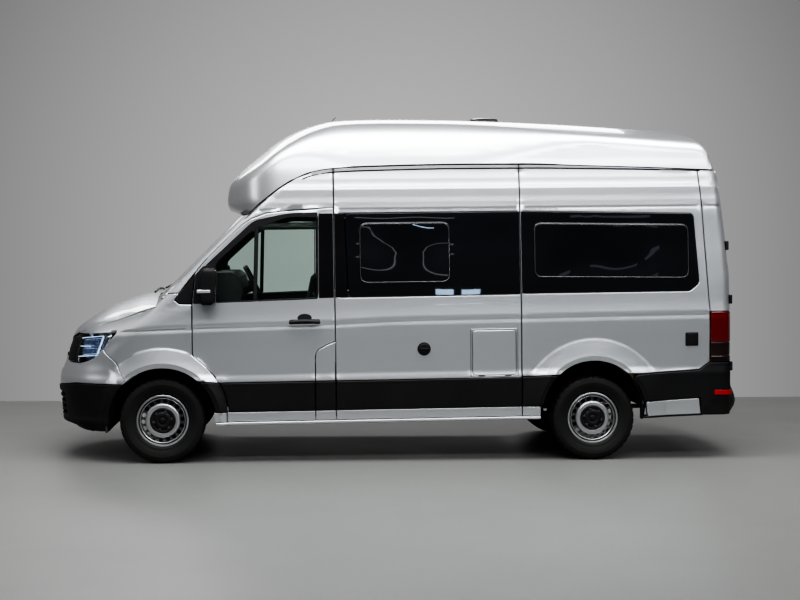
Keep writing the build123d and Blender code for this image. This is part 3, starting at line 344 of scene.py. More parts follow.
class Skin:
    """Points, faces and normals of a panel, before they become a mesh."""

    def __init__(self):
        self.points, self.faces, self.normals, self.parts = [], [], [], []

    def add(self, points, faces, normals, part=0):
        base = len(self.points)
        self.points += [tuple(p) for p in points]
        for face, normal in zip(faces, normals):
            self.faces.append([base + i for i in face])
            self.normals.append([tuple(n) for n in normal])
            self.parts.append(part)

    def mirrored(self):
        other = Skin()
        other.points = [(x, -y, z) for x, y, z in self.points]
        other.faces = [face[::-1] for face in self.faces]
        other.normals = [[(x, -y, z) for x, y, z in n[::-1]] for n in self.normals]
        other.parts = list(self.parts)
        return other

    def mesh(self, name, materials):
        made = bpy.data.meshes.new(name)
        made.from_pydata(self.points, [], self.faces)
        made.polygons.foreach_set("use_smooth", [True] * len(self.faces))
        made.polygons.foreach_set("material_index", self.parts)
        for material in materials:
            made.materials.append(material)
        made.normals_split_custom_set([n for face in self.normals for n in face])
        made.transform(TIP)
        made.update()
        return made


def panel_skin(outline, holes=(), view="side", field=wall_field, step=0.045, lift=0.0, depth=0.02, roll=ROLL,
               back=False, radius=12):
    """A pressed panel: its face on the field's surface, rolled edges, a return of that depth and a back."""
    edge_step = min(step, 0.025)
    loops = [divided(turned_left(rounded(outline, radius)), edge_step)]
    loops += [divided(turned_left(rounded(h, r)), edge_step)[::-1] for h, r in holes]
    inner = [inset_loop(loop, max(roll, 0.002)) for loop in loops]
    rims = np.concatenate([np.array(loop) for loop in loops])
    insets = np.concatenate(inner)
    grid = fill_points(view, [list(map(tuple, loop)) for loop in inner], step)
    flat = np.concatenate([rims, insets, grid]) if len(grid) else np.concatenate([rims, insets])
    edges, base = [], 0
    for ring in (loops, inner):
        for loop in ring:
            n = len(loop)
            edges += [(base + i, base + (i + 1) % n) for i in range(n)]
            base += n
    made = geometry.delaunay_2d_cdt([Vector(p) for p in flat], edges, [], 1, 1e-6)
    where, faces, origin = np.array([tuple(p) for p in made[0]]), [list(f) for f in made[2]], made[3]
    centres = np.array([where[f].mean(0) for f in faces])
    faces = [f for f, keep in zip(faces, is_within(centres, loops)) if keep]
    start, way, reach = rays(view, where[:, 0], where[:, 1])
    points = strike(field, start, way, reach)
    normals = outward(field, points)
    points = points + normals * lift
    rim_of = {}
    for index, sources in enumerate(origin):
        for source in sources:
            if source < len(rims):
                rim_of[source] = index
    inset_of = {s - len(rims): i for i, sources in enumerate(origin) for s in sources
                if len(rims) <= s < len(rims) + len(insets)}
    rolled, shaded = points.copy(), normals.copy()
    for source, index in rim_of.items():
        away = points[index] - points[inset_of.get(source, index)]
        size = np.linalg.norm(away)
        away = away / size if size > 1e-9 else away
        rolled[index] = points[index] - normals[index] * roll * 0.55
        tilt = normals[index] * 0.55 + away * 0.85
        shaded[index] = tilt / np.linalg.norm(tilt)
    skin = Skin()
    first = np.cross(rolled[faces[0][1]] - rolled[faces[0][0]], rolled[faces[0][2]] - rolled[faces[0][0]])
    if first @ normals[faces[0][0]] < 0:
        faces = [f[::-1] for f in faces]
    skin.add(rolled, faces, [[shaded[i] for i in f] for f in faces])
    sides = {}
    for f in faces:
        for a, b in zip(f, f[1:] + f[:1]):
            sides[(a, b)] = 1
    border = [(a, b) for a, b in sides if (b, a) not in sides]
    deep = points - normals * depth
    ring_points, ring_faces, ring_normals = [], [], []
    for a, b in border:
        across = np.cross(rolled[b] - rolled[a], normals[a])
        across = across / max(np.linalg.norm(across), 1e-9)
        k = len(ring_points)
        ring_points += [rolled[a], rolled[b], deep[b], deep[a]]
        ring_faces.append([k + 1, k, k + 3, k + 2])
        ring_normals.append([across] * 4)
    skin.add(ring_points, ring_faces, ring_normals)
    if back:
        skin.add(deep, [f[::-1] for f in faces], [[-normals[i] for i in f[::-1]] for f in faces], 1)
    return skin


def place(name, mesh, body, replaces=()):
    """A finished piece that rides on a body."""
    piece = bpy.data.objects.new(name, mesh)
    bpy.context.scene.collection.objects.link(piece)
    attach(piece, body)
    if replaces:
        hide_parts(*replaces)
    return piece


def layers(finish, lining):
    """A panel's materials: its face, and its back where it has one."""
    return [finish] if lining is None else [finish, lining]


def oblong(start, end, top, low):
    """The four corners between two places and two heights."""
    return [(start, top), (end, top), (end, low), (start, low)]


def oval(across, up, wide, high, count):
    """Points round an oval."""
    return [(across + wide * math.cos(a), up + high * math.sin(a)) for a in np.linspace(0, 2 * math.pi,
                                                                                        count + 1)[:-1]]


def panel(name, body, finish, outline, replaces=(), slot="body_silver", lining=None, side=1, **how):
    """One panel on one side of the body."""
    skin = panel_skin(outline, back=lining is not None, **how)
    if side < 0:
        skin = skin.mirrored()
    return place(name, skin.mesh(name, layers(finish, lining)), body, replaces)


def both_sides(name, bodies, finish, outline, replaces=(), **how):
    """The same panel on the left and the right. Bodies and replaced nodes are given as (left, right)."""
    lining = how.pop("lining", None)
    slot = how.pop("slot", "body_silver")
    left = panel_skin(outline, back=lining is not None, **how)
    for word, skin, body, i in (("left", left, bodies[0], 0), ("right", left.mirrored(), bodies[1], 1)):
        title = f"{name}_{word}"
        place(title, skin.mesh(title, layers(finish, lining)), body, [replaces[i]] if replaces else ())


def rod(name, path, radius, material=None, sides=10):
    """A round bar along a path of points."""
    line = [Vector(p) for p in path]
    rings = []
    for i, p in enumerate(line):
        ahead = (line[min(i + 1, len(line) - 1)] - line[max(i - 1, 0)]).normalized()
        across = rings[-1][1] - ahead * rings[-1][1].dot(ahead) if rings else ahead.orthogonal()
        across.normalize()
        rings.append((p, across, ahead))
    circle = [2 * math.pi * k / sides for k in range(sides)]
    points, normals = [], []
    for p, across, ahead in rings:
        other = ahead.cross(across)
        for a in circle:
            normal = across * math.cos(a) + other * math.sin(a)
            points.append(tuple(p + normal * radius))
            normals.append(tuple(normal))
    faces = [[i * sides + k, i * sides + (k + 1) % sides, (i + 1) * sides + (k + 1) % sides,
              (i + 1) * sides + k]
             for i in range(len(rings) - 1) for k in range(sides)]
    skin = Skin()
    skin.add(points, faces, [[normals[i] for i in f] for f in faces])
    for ring, sign in ((0, -1), (len(rings) - 1, 1)):
        face = [ring * sides + k for k in range(sides)]
        skin.add([points[i] for i in face], [list(range(sides))[::sign]],
                 [[tuple(rings[ring][2] * sign)] * sides])
    return skin.mesh(name, [material or BAND])


def soft_box(name, low, high, material, bevel=0.02, taper=None):
    """A moulded block between two corners with rounded edges, its top moved or narrowed by taper(point)."""
    work = bmesh.new()
    bmesh.ops.create_cube(work, size=1.0)
    low, high = Vector(low), Vector(high)
    for vert in work.verts:
        vert.co = Vector(((vert.co[i] + 0.5) * (high[i] - low[i]) + low[i] for i in range(3)))
    bmesh.ops.subdivide_edges(work, edges=work.edges, cuts=3, use_grid_fill=True)
    bevelled = [e for e in work.edges if len(e.link_faces) == 2 and e.calc_face_angle(0) > 0.5]
    bmesh.ops.bevel(work, geom=bevelled, offset=bevel, segments=4, profile=0.5, affect="EDGES",
                    clamp_overlap=True)
    if taper:
        for vert in work.verts:
            vert.co = Vector(taper(*vert.co))
    bmesh.ops.recalc_face_normals(work, faces=work.faces)
    mesh = bpy.data.meshes.new(name)
    work.to_mesh(mesh)
    work.free()
    mesh.materials.append(material)
    shade(mesh, 40)
    mesh.transform(TIP)
    return mesh


def flipped(mesh):
    """A copy of the mesh on the other side of the vehicle."""
    other = mesh.copy()
    other.transform(Matrix.Scale(-1, 4, (0, 1, 0)))
    other.flip_normals()
    return other


def pair(name, mesh, bodies, replaces=()):
    """The mesh on the left, and its mirror image on the right."""
    place(f"{name}_left", mesh, bodies[0], [replaces[0]] if replaces else ())
    place(f"{name}_right", flipped(mesh), bodies[1], [replaces[1]] if replaces else ())


# ---------------------------------------------------------------- finishes


def node_group(name, kind, inputs, outputs):
    """A new node group with named sockets, and its first and last nodes."""
    tree = bpy.data.node_groups.new(name, kind)
    for title, socket, value in inputs:
        made = tree.interface.new_socket(title, in_out="INPUT", socket_type="NodeSocket" + socket)
        if value is not None:
            made.default_value = value
    for title, socket in outputs:
        tree.interface.new_socket(title, in_out="OUTPUT", socket_type="NodeSocket" + socket)
    return tree, tree.nodes.new("NodeGroupInput"), tree.nodes.new("NodeGroupOutput")


def wire(tree, *pairs):
    """Links from the first socket of each pair to the second."""
    for start, end in pairs:
        tree.links.new(start, end)


def sum_of(tree, operation, first, second):
    """A Math node on two values or sockets; gives its result's socket."""
    one = tree.nodes.new("ShaderNodeMath")
    one.operation = operation
    for k, value in enumerate((first, second)):
        if isinstance(value, (int, float)):
            one.inputs[k].default_value = value
        else:
            tree.links.new(value, one.inputs[k])
    return one.outputs[0]


def map_range(tree, value, start, end, low, high):
    """A Map Range node from start..end to low..high; gives its result's socket."""
    one = tree.nodes.new("ShaderNodeMapRange")
    for key, number in (("From Min", start), ("From Max", end), ("To Min", low), ("To Max", high)):
        one.inputs[key].default_value = number
    tree.links.new(value, one.inputs["Value"])
    return one.outputs[0]


def colour_mix(tree, factor, first, second):
    """A Mix node between two colours or sockets; gives its result's socket."""
    one = tree.nodes.new("ShaderNodeMix")
    one.data_type = "RGBA"
    for key, value in (("A", first), ("B", second)):
        if isinstance(value, tuple):
            one.inputs[key].default_value = (*value, 1)
        else:
            tree.links.new(value, one.inputs[key])
    tree.links.new(factor, one.inputs["Factor"])
    return one.outputs["Result"]


def surface_grain():
    """A fine grain: a normal and a slow colour mask, at a scale in metres."""
    tree, entry, leave = node_group("surface_grain", "ShaderNodeTree",
                                    (("Grain Scale", "Float", 400.0), ("Grain Height", "Float", 0.1),
                                     ("Patch Scale", "Float", 3.0), ("Grain Detail", "Float", 3.0)),
                                    (("Normal", "Vector"), ("Grain", "Float"), ("Patches", "Float")))
    place_on, fine, slow, bump = (tree.nodes.new("ShaderNode" + k) for k in ("TexCoord", "TexNoise",
                                                                             "TexNoise", "Bump"))
    slow.inputs["Detail"].default_value = 4.0
    bump.inputs["Distance"].default_value = 0.001
    for noise, scale in ((fine, "Grain Scale"), (slow, "Patch Scale")):
        wire(tree, (place_on.outputs["Object"], noise.inputs["Vector"]),
             (entry.outputs[scale], noise.inputs["Scale"]))
    wire(tree, (entry.outputs["Grain Detail"], fine.inputs["Detail"]),
         (fine.outputs["Fac"], bump.inputs["Height"]),
         (entry.outputs["Grain Height"], bump.inputs["Strength"]),
         (bump.outputs["Normal"], leave.inputs["Normal"]),
         (fine.outputs["Fac"], leave.inputs["Grain"]), (slow.outputs["Fac"], leave.inputs["Patches"]))
    return tree


def road_dust():
    """A mask for the dust that gathers low down on a body."""
    tree, entry, leave = node_group("road_dust", "ShaderNodeTree",
                                    (("Top", "Float", 0.8), ("Amount", "Float", 0.2)),
                                    (("Mask", "Float"),))
    place_on, apart, noise, low = (tree.nodes.new("ShaderNode" + k)
                                   for k in ("TexCoord", "SeparateXYZ", "TexNoise", "MapRange"))
    for one, key, value in ((noise, "Scale", 9.0), (noise, "Detail", 6.0), (low, "From Min", 0.1),
                            (low, "To Min", 1.0),
                            (low, "To Max", 0.0)):
        one.inputs[key].default_value = value
    wire(tree, (place_on.outputs["Object"], apart.inputs[0]),
         (place_on.outputs["Object"], noise.inputs["Vector"]),
         (apart.outputs["Z"], low.inputs["Value"]), (entry.outputs["Top"], low.inputs["From Max"]))
    strewn = sum_of(tree, "MULTIPLY", low.outputs[0], noise.outputs["Fac"])
    wire(tree, (sum_of(tree, "MULTIPLY", strewn, entry.outputs["Amount"]), leave.inputs["Mask"]))
    return tree


GRAIN = surface_grain()
DUST = road_dust()
DUST_COLOUR = (0.30, 0.28, 0.25)


def finish(name, colour, other=None, rough=(0.4, 0.5), grain=(400.0, 0.1), patch=3.0, detail=3.0, dust=0.0,
           dust_top=0.8, **sockets):
    """A material whose colour drifts between two tones, with a fine grain, uneven gloss and some dust."""
    material = bpy.data.materials.new(name)
    material.use_nodes = True
    tree = material.node_tree
    shader = tree.nodes["Principled BSDF"]
    surface = tree.nodes.new("ShaderNodeGroup")
    surface.node_tree = GRAIN
    for key, value in (("Grain Scale", grain[0]), ("Grain Height", grain[1]), ("Patch Scale", patch),
                       ("Grain Detail", detail)):
        surface.inputs[key].default_value = value
    patches = surface.outputs["Patches"]
    tone = colour_mix(tree, patches, colour, other or tuple(c * 0.88 for c in colour))
    if dust:
        film = tree.nodes.new("ShaderNodeGroup")
        film.node_tree = DUST
        film.inputs["Amount"].default_value = dust
        film.inputs["Top"].default_value = dust_top
        tone = colour_mix(tree, film.outputs["Mask"], tone, DUST_COLOUR)
    wire(tree, (map_range(tree, patches, 0, 1, *rough), shader.inputs["Roughness"]),
         (tone, shader.inputs["Base Color"]),
         (surface.outputs["Normal"], shader.inputs["Normal"]))
    for key, value in sockets.items():
        shader.inputs[key.replace("_", " ")].default_value = value
    return material


PLATE = (0.55, 0.55, 0.53)
SILVER = finish("silver_paint", (0.60, 0.62, 0.64), (0.56, 0.575, 0.60), rough=(0.30, 0.36),
                grain=(2600.0, 0.05), patch=1.2, dust=0.08, dust_top=0.9, Metallic=0.85, Coat_Weight=0.9,
                Coat_Roughness=0.04, Coat_IOR=1.5)
BAND = finish("black_cladding", (0.006, 0.006, 0.007), (0.010, 0.010, 0.011), rough=(0.45, 0.6),
              grain=(900, 0.35), dust=0.035, dust_top=0.8, Specular_IOR_Level=0.25)
GLOSS_BLACK = finish("gloss_black_foil", (0.006, 0.006, 0.007), rough=(0.05, 0.09), grain=(60, 0.02),
                     Coat_Weight=0.6, Coat_Roughness=0.03)
PRIVACY = finish("privacy_glass", (0.004, 0.0045, 0.006), (0.007, 0.008, 0.010), rough=(0.01, 0.03),
                 grain=(2.2, 2.0), patch=1.0, detail=0.0, IOR=1.52, Specular_IOR_Level=0.7)
PANE = finish("acrylic_pane", (0.004, 0.0045, 0.006), (0.007, 0.008, 0.010), rough=(0.01, 0.03),
              grain=(2.6, 26.0), patch=1.0, detail=0.0, IOR=1.49, Specular_IOR_Level=0.7)
PANE_EDGE = finish("pane_edge", (0.16, 0.165, 0.17), (0.05, 0.05, 0.055), rough=(0.2, 0.4), grain=(40, 1.0),
                   patch=9, Metallic=0.4, Coat_Weight=0.8)
CLEAR = finish("clear_glass", (0.80, 0.90, 0.86), (0.78, 0.88, 0.84), rough=(0.0, 0.01), grain=(3, 0.05),
               Transmission_Weight=1.0, IOR=1.45)
LENS = finish("lamp_cover", (0.93, 0.95, 0.97), (0.90, 0.92, 0.95), rough=(0.01, 0.03), grain=(12, 0.04),
              Transmission_Weight=1.0, IOR=1.18)
RED_LENS = finish("red_lens", (0.13, 0.0015, 0.003), (0.07, 0.001, 0.002), rough=(0.06, 0.12),
                  grain=(140, 0.8), Coat_Weight=1.0, Coat_Roughness=0.02)
REFLECTOR = finish("red_reflector", (0.42, 0.004, 0.006), (0.34, 0.003, 0.005), rough=(0.2, 0.3),
                   grain=(420, 1.2))
DARK_LENS = finish("smoked_lens", (0.014, 0.001, 0.001), (0.008, 0.001, 0.001), rough=(0.06, 0.12),
                   grain=(140, 0.6), Coat_Weight=1.0, Coat_Roughness=0.02)
INDICATOR = finish("indicator_lens", (0.62, 0.64, 0.64), (0.34, 0.35, 0.35), rough=(0.10, 0.2),
                   grain=(90, 1.2), patch=60, Metallic=0.5, Coat_Weight=1.0)
CHROME = finish("bright_chrome", (0.85, 0.86, 0.88), (0.78, 0.80, 0.82), rough=(0.05, 0.12), grain=(80, 0.03),
                Metallic=1.0)
RUBBER = finish("tyre_rubber", (0.006, 0.006, 0.0065), (0.011, 0.0105, 0.010), rough=(0.62, 0.80),
                grain=(700, 0.5), patch=14, dust=0.035, dust_top=0.9, Specular_IOR_Level=0.25)
RIM = finish("wheel_silver", (0.50, 0.51, 0.52), (0.42, 0.43, 0.44), rough=(0.26, 0.36), grain=(1500, 0.08),
             patch=9, dust=0.10, dust_top=0.8, Metallic=0.85, Coat_Weight=0.3)
# Painted shade: a darker copy of the wheel silver, for the hollow round the holes where shade falls; its dust
# is real dust.
RIM_HOLLOW_SHADE = finish("wheel_hollow", (0.10, 0.10, 0.105), (0.06, 0.06, 0.062), rough=(0.4, 0.55),
                  grain=(1500, 0.1), patch=14, dust=0.12, dust_top=0.8, Metallic=0.6)
CHASSIS = finish("chassis_black", (0.012, 0.0115, 0.011), (0.028, 0.026, 0.024), rough=(0.6, 0.8),
                 grain=(350, 0.6), patch=6, dust=0.15, dust_top=0.9)
CAST = finish("cast_metal", (0.20, 0.19, 0.18), (0.12, 0.10, 0.09), rough=(0.5, 0.7), grain=(500, 0.5),
              patch=12, dust=0.4, Metallic=0.8)
CABIN = finish("cabin_plastic", (0.018, 0.018, 0.019), (0.028, 0.028, 0.029), rough=(0.5, 0.65),
               grain=(1400, 0.4))
TRIM = finish("wall_trim", (0.30, 0.30, 0.29), (0.36, 0.36, 0.35), rough=(0.7, 0.85), grain=(600, 0.3))
BOARD = finish("furniture_board", (0.46, 0.34, 0.22), (0.35, 0.25, 0.16), rough=(0.4, 0.55),
               grain=(120, 0.25), patch=8)
LINER = finish("arch_felt", (0.018, 0.018, 0.018), (0.030, 0.029, 0.028), rough=(0.85, 0.95),
               grain=(500, 0.9), dust=0.3)


# ---------------------------------------------------------------- body panels

# Half a gap between panels, and the heights of the black band along the sides
G = 3.5
BAND_TOP = 695
BAND_LOW = 452
STRIP_LOW = 368
ARCH_STEPS = 22


def arch_points(wheel, radius, low_w):
    """Points round a wheel opening, from its front foot over the top to its rear foot."""
    cu, cw = wheel[0] / MM, wheel[1] / MM
    sink = math.asin(max(-1, min(1, (low_w - cw) / radius)))
    angles = [sink + (math.pi - 2 * sink) * k / ARCH_STEPS for k in range(ARCH_STEPS + 1)]
    return [(cu + radius * math.cos(a), cw + radius * math.sin(a)) for a in angles]


FRONT_ARCH_TOP = arch_points(FRONT_WHEEL, 450, BAND_TOP)
REAR_ARCH_TOP = arch_points(REAR_WHEEL, 437, BAND_TOP + 20)
DOOR_FRONT = [(1727, 1352), (1730, 935), (1717, 917), (1614, 827), (1545, 744), (1519, BAND_TOP)]
DOOR_TOP = [(1727, 1352), (1699, 1612), (1602, 1729), (1464, 1863), (1318, 1997), (1236, 2055), (1100, 2104),
            (918, 2124), (737, 2134), (545, 2141)]
DOOR_CUT = [(545, 1030), (618, 1001), (683, 966), (707, 937), (715, 900)]
DOOR_GLASS = [(1660, 1366), (1640, 1640), (1209, 2042), (919, 2098), (672, 2104), (679, 1390)]
DOOR_OUTLINE = DOOR_FRONT[::-1] + DOOR_TOP[1:] + DOOR_CUT + [(715, BAND_TOP)]


def crown_w(u, v):
    """Height of the bonnet over a plan point."""
    return float(bonnet_line(u * MM) - bonnet_drop(u * MM) * (abs(v) * MM / HALF) ** 2.2) / MM


BONNET_EDGE = [(2030, 862), (2361, 840), (2600, 805), (2735, 775)]


def build_nose():
    """Wings and bonnet."""
    edge_up = [(u, crown_w(u, v) - 4) for u, v in BONNET_EDGE]
    wing = [(1524, BAND_TOP + G)] + [(u + 2 * G, w) for u, w in DOOR_FRONT[::-1][1:]]
    wing += [(1834, 1356), (1879, 1392), (1839, 1444), (1938, 1445), (1985, 1443),
             (2024, 1434)] + edge_up[:-1]
    wing += [(2712, 1112), (2361, 1128), (2437, 1036), (2477, 990), (2460, 954), (2371, 884), (2330, 790)]
    wing += [p for p in FRONT_ARCH_TOP if p[0] < 2330 and p[1] > 700]
    both_sides("wing_panel", BODY, SILVER, wing, ("front_wings", "front_wings"), field=wing_field, radius=6,
               lining=CHASSIS, depth=0.03, step=0.035)
    lead = [(float(NOSE_U + (front_line(1.075) - NOSE_U) * (1 - (v / 1000) ** 2) ** 0.25) / MM - 14, v)
            for v in (760, 640, 480, 320, 160, 0)]
    side = [(u, v - G) for u, v in BONNET_EDGE[:-1]] + lead[:-1]
    rear = [(2043, 640), (2052, 400)]
    bonnet = side + [lead[-1]] + [(u, -v) for u, v in side[::-1]]
    bonnet += [(u, -v) for u, v in rear] + [(2056, 0)] + rear[::-1]
    panel("bonnet_panel", "bonnet", SILVER, bonnet, ("bonnet",), view="top", field=nose_field, lining=CHASSIS,
          depth=0.028, radius=4, step=0.04)


def under_roof(*places, gap=6):
    """Points just under the roof's seam, at places along the body."""
    return [(u, float(roof_seam(u * MM)) / MM - gap) for u in places]


def build_sides():
    """The doors and walls of both sides, with the service flap in its frame."""
    low = [(u, w + (G if w == BAND_TOP else 0)) for u, w in DOOR_OUTLINE]
    both_sides("door_panel", DOORS, SILVER, low, DOORS, holes=[(DOOR_GLASS, 45)], lining=CABIN, depth=0.062,
               radius=10)
    cab_side = [(u, w + 2 * G) for u, w in DOOR_TOP[:1:-1]]
    cab_side += [(1608, 1735), (1706, 1618), (1837, 1451), (1936, 1452), (1800, 1600), (1640, 1765),
                 (1460, 1945), (1290, 2098)] + under_roof(1225, 1100, 986, 850, 715, 620, 545)
    both_sides("cab_side_panel", BODY, SILVER, cab_side, ("cab_shell", "cab_shell"), field=cab_field,
               lining=TRIM, depth=0.05, radius=5)
    mid = [(537, BAND_TOP + G), (537, 2000)] + under_roof(533, 250, -250, -700, -1031)
    mid += [(-1031, 2000), (-1031, BAND_TOP + G)]
    window = ([(500, 2103), (-1020, 2105), (-1020, 1397), (500, 1390)], 8)
    skin = dict(lining=TRIM, depth=0.06, radius=6)
    panel("mid_wall_left", "body", SILVER, mid, ("side_wall_left",),
          holes=[window, (oblong(-598, -1001, 1116, 704), 8)], **skin)
    panel("mid_wall_right", "body", SILVER, mid, ("sliding_door",), holes=[window], side=-1, **skin)
    panel("service_flap_panel", "service_flap", SILVER, oblong(-615, -984, 1099, 721), ("service_flap",),
          lining=TRIM, depth=0.028, radius=31)
    panel("flap_frame", "body", SILVER, oblong(-601, -998, 1113, 707), radius=7, depth=0.02, roll=0.003,
          holes=[(oblong(-610, -989, 1104, 716), 36)])
    for word, u in (("front", -690), ("rear", -915)):
        panel(f"flap_hinge_{word}", "body", BAND, oblong(u + 28, u - 28, 719, 711), slot="black_trim",
              lift=0.002, depth=0.006, radius=3, roll=0.002)
    quarter = [(-1039, BAND_TOP + 12)] + under_roof(-1039, -1500, -2000, -2400, -2572)
    quarter += [(-2600, 2133), (-2638, 1504), (-2655, 1228), (-2654, 800), (-2560, 738),
                (-2090, BAND_TOP + 18)]
    quarter += REAR_ARCH_TOP[::-1] + [(-1180, BAND_TOP + 12)]
    pane = [(-1046, 2105), (-2505, 2071), (-2530, 2050), (-2571, 1473), (-2488, 1404), (-1046, 1402)]
    both_sides("quarter_wall", BODY, SILVER, quarter, ("side_wall_left", "side_wall_right"),
               holes=[(pane, 24)], **skin)
    post = under_roof(-2580, gap=8) + [(-2607, 2133), (-2645, 1504), (-2661, 1232), (-2835, 1232),
                                       (-2835, 1500), (-2742, 2436)]
    both_sides("corner_post", BODY, SILVER, post, **skin)
    cut = [(541, 1022), (614, 994), (678, 960), (703, 932), (708, 900), (708, BAND_TOP + G),
           (548, BAND_TOP + G)]
    both_sides("pillar_panel", BODY, SILVER, cut, lining=TRIM, depth=0.06, radius=5)


def build_foot():
    """Black cladding along the sides, the silver foot under it and the sill's lip."""
    clad = dict(lift=0.009, lining=CHASSIS, depth=0.055, radius=7, slot="black_trim")
    rim = [p for p in arch_points(FRONT_WHEEL, 452, BAND_LOW)[::-1]
           if p[0] < 1992 and BAND_LOW < p[1] < BAND_TOP + 30][1:]
    rear_rim = arch_points(REAR_WHEEL, 440, BAND_LOW)
    for word, bodies, outline in (
            ("wing", BODY, [(1516, BAND_TOP - G), (1478, 620), (1456, 540), (1449, BAND_LOW),
                            (1548, BAND_LOW)] + rim),
            ("door", DOORS, [(1507, BAND_TOP - G), (1470, 620), (1448, 540), (1441, BAND_LOW),
                             (718, BAND_LOW),
                             (718, BAND_TOP - G)]),
            ("pillar", BODY, [(711, BAND_TOP - G), (711, BAND_LOW), (545, BAND_LOW), (545, BAND_TOP - G)]),
            ("wall", BODY, [(537, BAND_TOP - G), (537, BAND_LOW), (-1031, BAND_LOW), (-1031, BAND_TOP)]),
            ("rear", BODY, [(-1039, BAND_TOP + 2), (-1039, BAND_LOW), (-1208, BAND_LOW)]
             + [p for p in rear_rim if p[0] > -1648 and BAND_LOW < p[1] < BAND_TOP + 20]
             + [(-1250, BAND_TOP + 8)])):
        both_sides(f"cladding_{word}", bodies, BAND, outline, **clad)
    for word, bodies, start, end in (("wing", BODY, 1560, 1456), ("door", DOORS, 1449, 718),
                                     ("pillar", BODY, 711, 545),
                                     ("wall", BODY, 537, -1031), ("rear", BODY, -1039, -1190)):
        both_sides(f"foot_{word}", bodies, SILVER, oblong(start, end, BAND_LOW - 2 * G, STRIP_LOW),
                   lining=CHASSIS, depth=0.05, radius=4)
    both_sides("sill_lip", BODY, SILVER, oblong(1552, -1192, 360, 338), lift=0.006, lining=CHASSIS,
               depth=0.08, radius=8)
    both_sides("rear_foot", BODY, SILVER, [(-2096, 466), (-2563, 488), (-2579, 352), (-2112, 340)],
               lining=CHASSIS, depth=0.05, radius=9)
    both_sides("rear_foot_base", BODY, BAND, [(-2070, 345), (-2590, 357), (-2590, 340), (-2070, 327)],
               slot="black_trim", lift=0.004, lining=CHASSIS, depth=0.05, radius=4)
    tail = [(-2000, 693), (-2090, BAND_TOP + 10), (-2558, 729), (-2650, 792), (-2836, 790), (-2836, 560),
            (-2836, 345), (-2586, 345), (-2570, 495), (-2092, 473), (-2075, 335)]
    tail += [p for p in rear_rim[::-1] if p[0] < -1648 and 400 < p[1] < 690]
    both_sides("cladding_tail", BODY, BAND, tail, ("rear_bumper", "rear_bumper"), **clad)


# ---------------------------------------------------------------- front end

def around_front(points):
    """Side outline points (u, w) as points of an outline seen all round, on the left."""
    out = []
    for u, w in points:
        half = float(side_half(np.array(u * MM), np.array(w * MM)))
        ahead = min(max((u * MM - NOSE_U) / (float(front_line(w * MM)) - NOSE_U), 0), 1)
        v = half * math.sqrt(1 - ahead ** 4)
        out.append((round_a(u, v / MM), w))
    return out


def front_both(points):
    """The outline made symmetrical about the centre line: points run from the centre to the left."""
    return points + [(-a, w) for a, w in points[::-1] if abs(a) > 1]


def rim_at(low, high, count=7):
    """The front wheel opening's foremost edge between two heights."""
    cu, cw = FRONT_WHEEL[0] / MM, FRONT_WHEEL[1] / MM
    return [(cu + math.sqrt(451 ** 2 - (w - cw) ** 2), w) for w in np.linspace(low, high, count)]


def build_bumper():
    """The silver bumper skin, its black lower half with slots, slats and a blank plate."""
    how = dict(view="round")
    silver = [(0, 905), (300, 905), (470, 903), (500, 868), (560, 864), (650, 862)]
    silver += around_front([(2700, 862), (2620, 884), (2562, 908), (2505, 956), (2482, 982), (2464, 952),
                            (2376, 880), (2334, 790)] + rim_at(697, 800, 3)[::-1])
    silver += [(800, 700), (650, 682), (300, 650), (0, 642)]
    panel("bumper_skin", "body", SILVER, front_both(silver), ("front_bumper",), lining=CHASSIS, depth=0.05,
          radius=6, step=0.04, holes=[([(-390, 880), (390, 880), (372, 792), (-372, 792)], 18)], **how)
    lower = [(0, 636), (300, 644), (650, 676), (800, 694)]
    lower += around_front(rim_at(300, 690)[::-1] + [(2440, 300)])
    lower += [(980, 288), (800, 286), (620, 286), (400, 288), (0, 290)]
    panel("bumper_lower", "body", BAND, front_both(lower), slot="black_trim", lining=CHASSIS, depth=0.045,
          radius=8, lift=0.006, step=0.04,
          holes=[(oblong(-560, 560, w, w - 34), 12) for w in (600, 548, 496, 444)], **how)
    panel("bumper_dark", "body", LINER, front_both([(0, 900), (600, 900), (900, 690), (900, 300), (0, 300)]),
          slot="chassis_black", lift=-0.055, depth=0.01, radius=8, step=0.08, **how)
    panel("number_plate_front", "body", finish("blank_plate", PLATE, rough=(0.3, 0.4)),
          oblong(-255, 255, 480, 372), slot="clear_glass", lift=0.012, depth=0.006, radius=8, roll=0.003,
          **how)
    for k, w in enumerate((874, 853, 832, 811)):
        panel(f"upper_slat_{k}", "body", CHROME if k in (0, 2) else BAND, oblong(-376, 376, w, w - 9),
              slot="black_trim", lift=-0.012, depth=0.02, radius=4, roll=0.003, **how)
    chin = around_front([(2560, 262)])[0][0]
    lip = [(0, 308), (500, 308), (800, 306), (chin, 304), (chin, 290), (800, 288), (500, 290), (0, 292)]
    panel("bumper_lip", "body", BAND, front_both(lip), slot="black_trim", lift=0.012, depth=0.04, radius=6,
          roll=0.005, **how)


def build_undertray():
    """The dark panel across the body, between the bumper and the front wheels."""
    place("undertray", soft_box("undertray", (2.452, -0.935, 0.288), (2.470, 0.935, 0.640), LINER, 0.006),
          "body")


LAMP_OUTLINE = [(2361, 1124), (2440, 1036), (2500, 966), (2562, 914), (2620, 890), (2709, 868)]


def glowing(name, colour, other, glow, **how):
    """A finish that gives off some light of its own."""
    made = finish(name, colour, other, **how)
    made.node_tree.nodes["Principled BSDF"].inputs["Emission Color"].default_value = (*glow, 1)
    return made


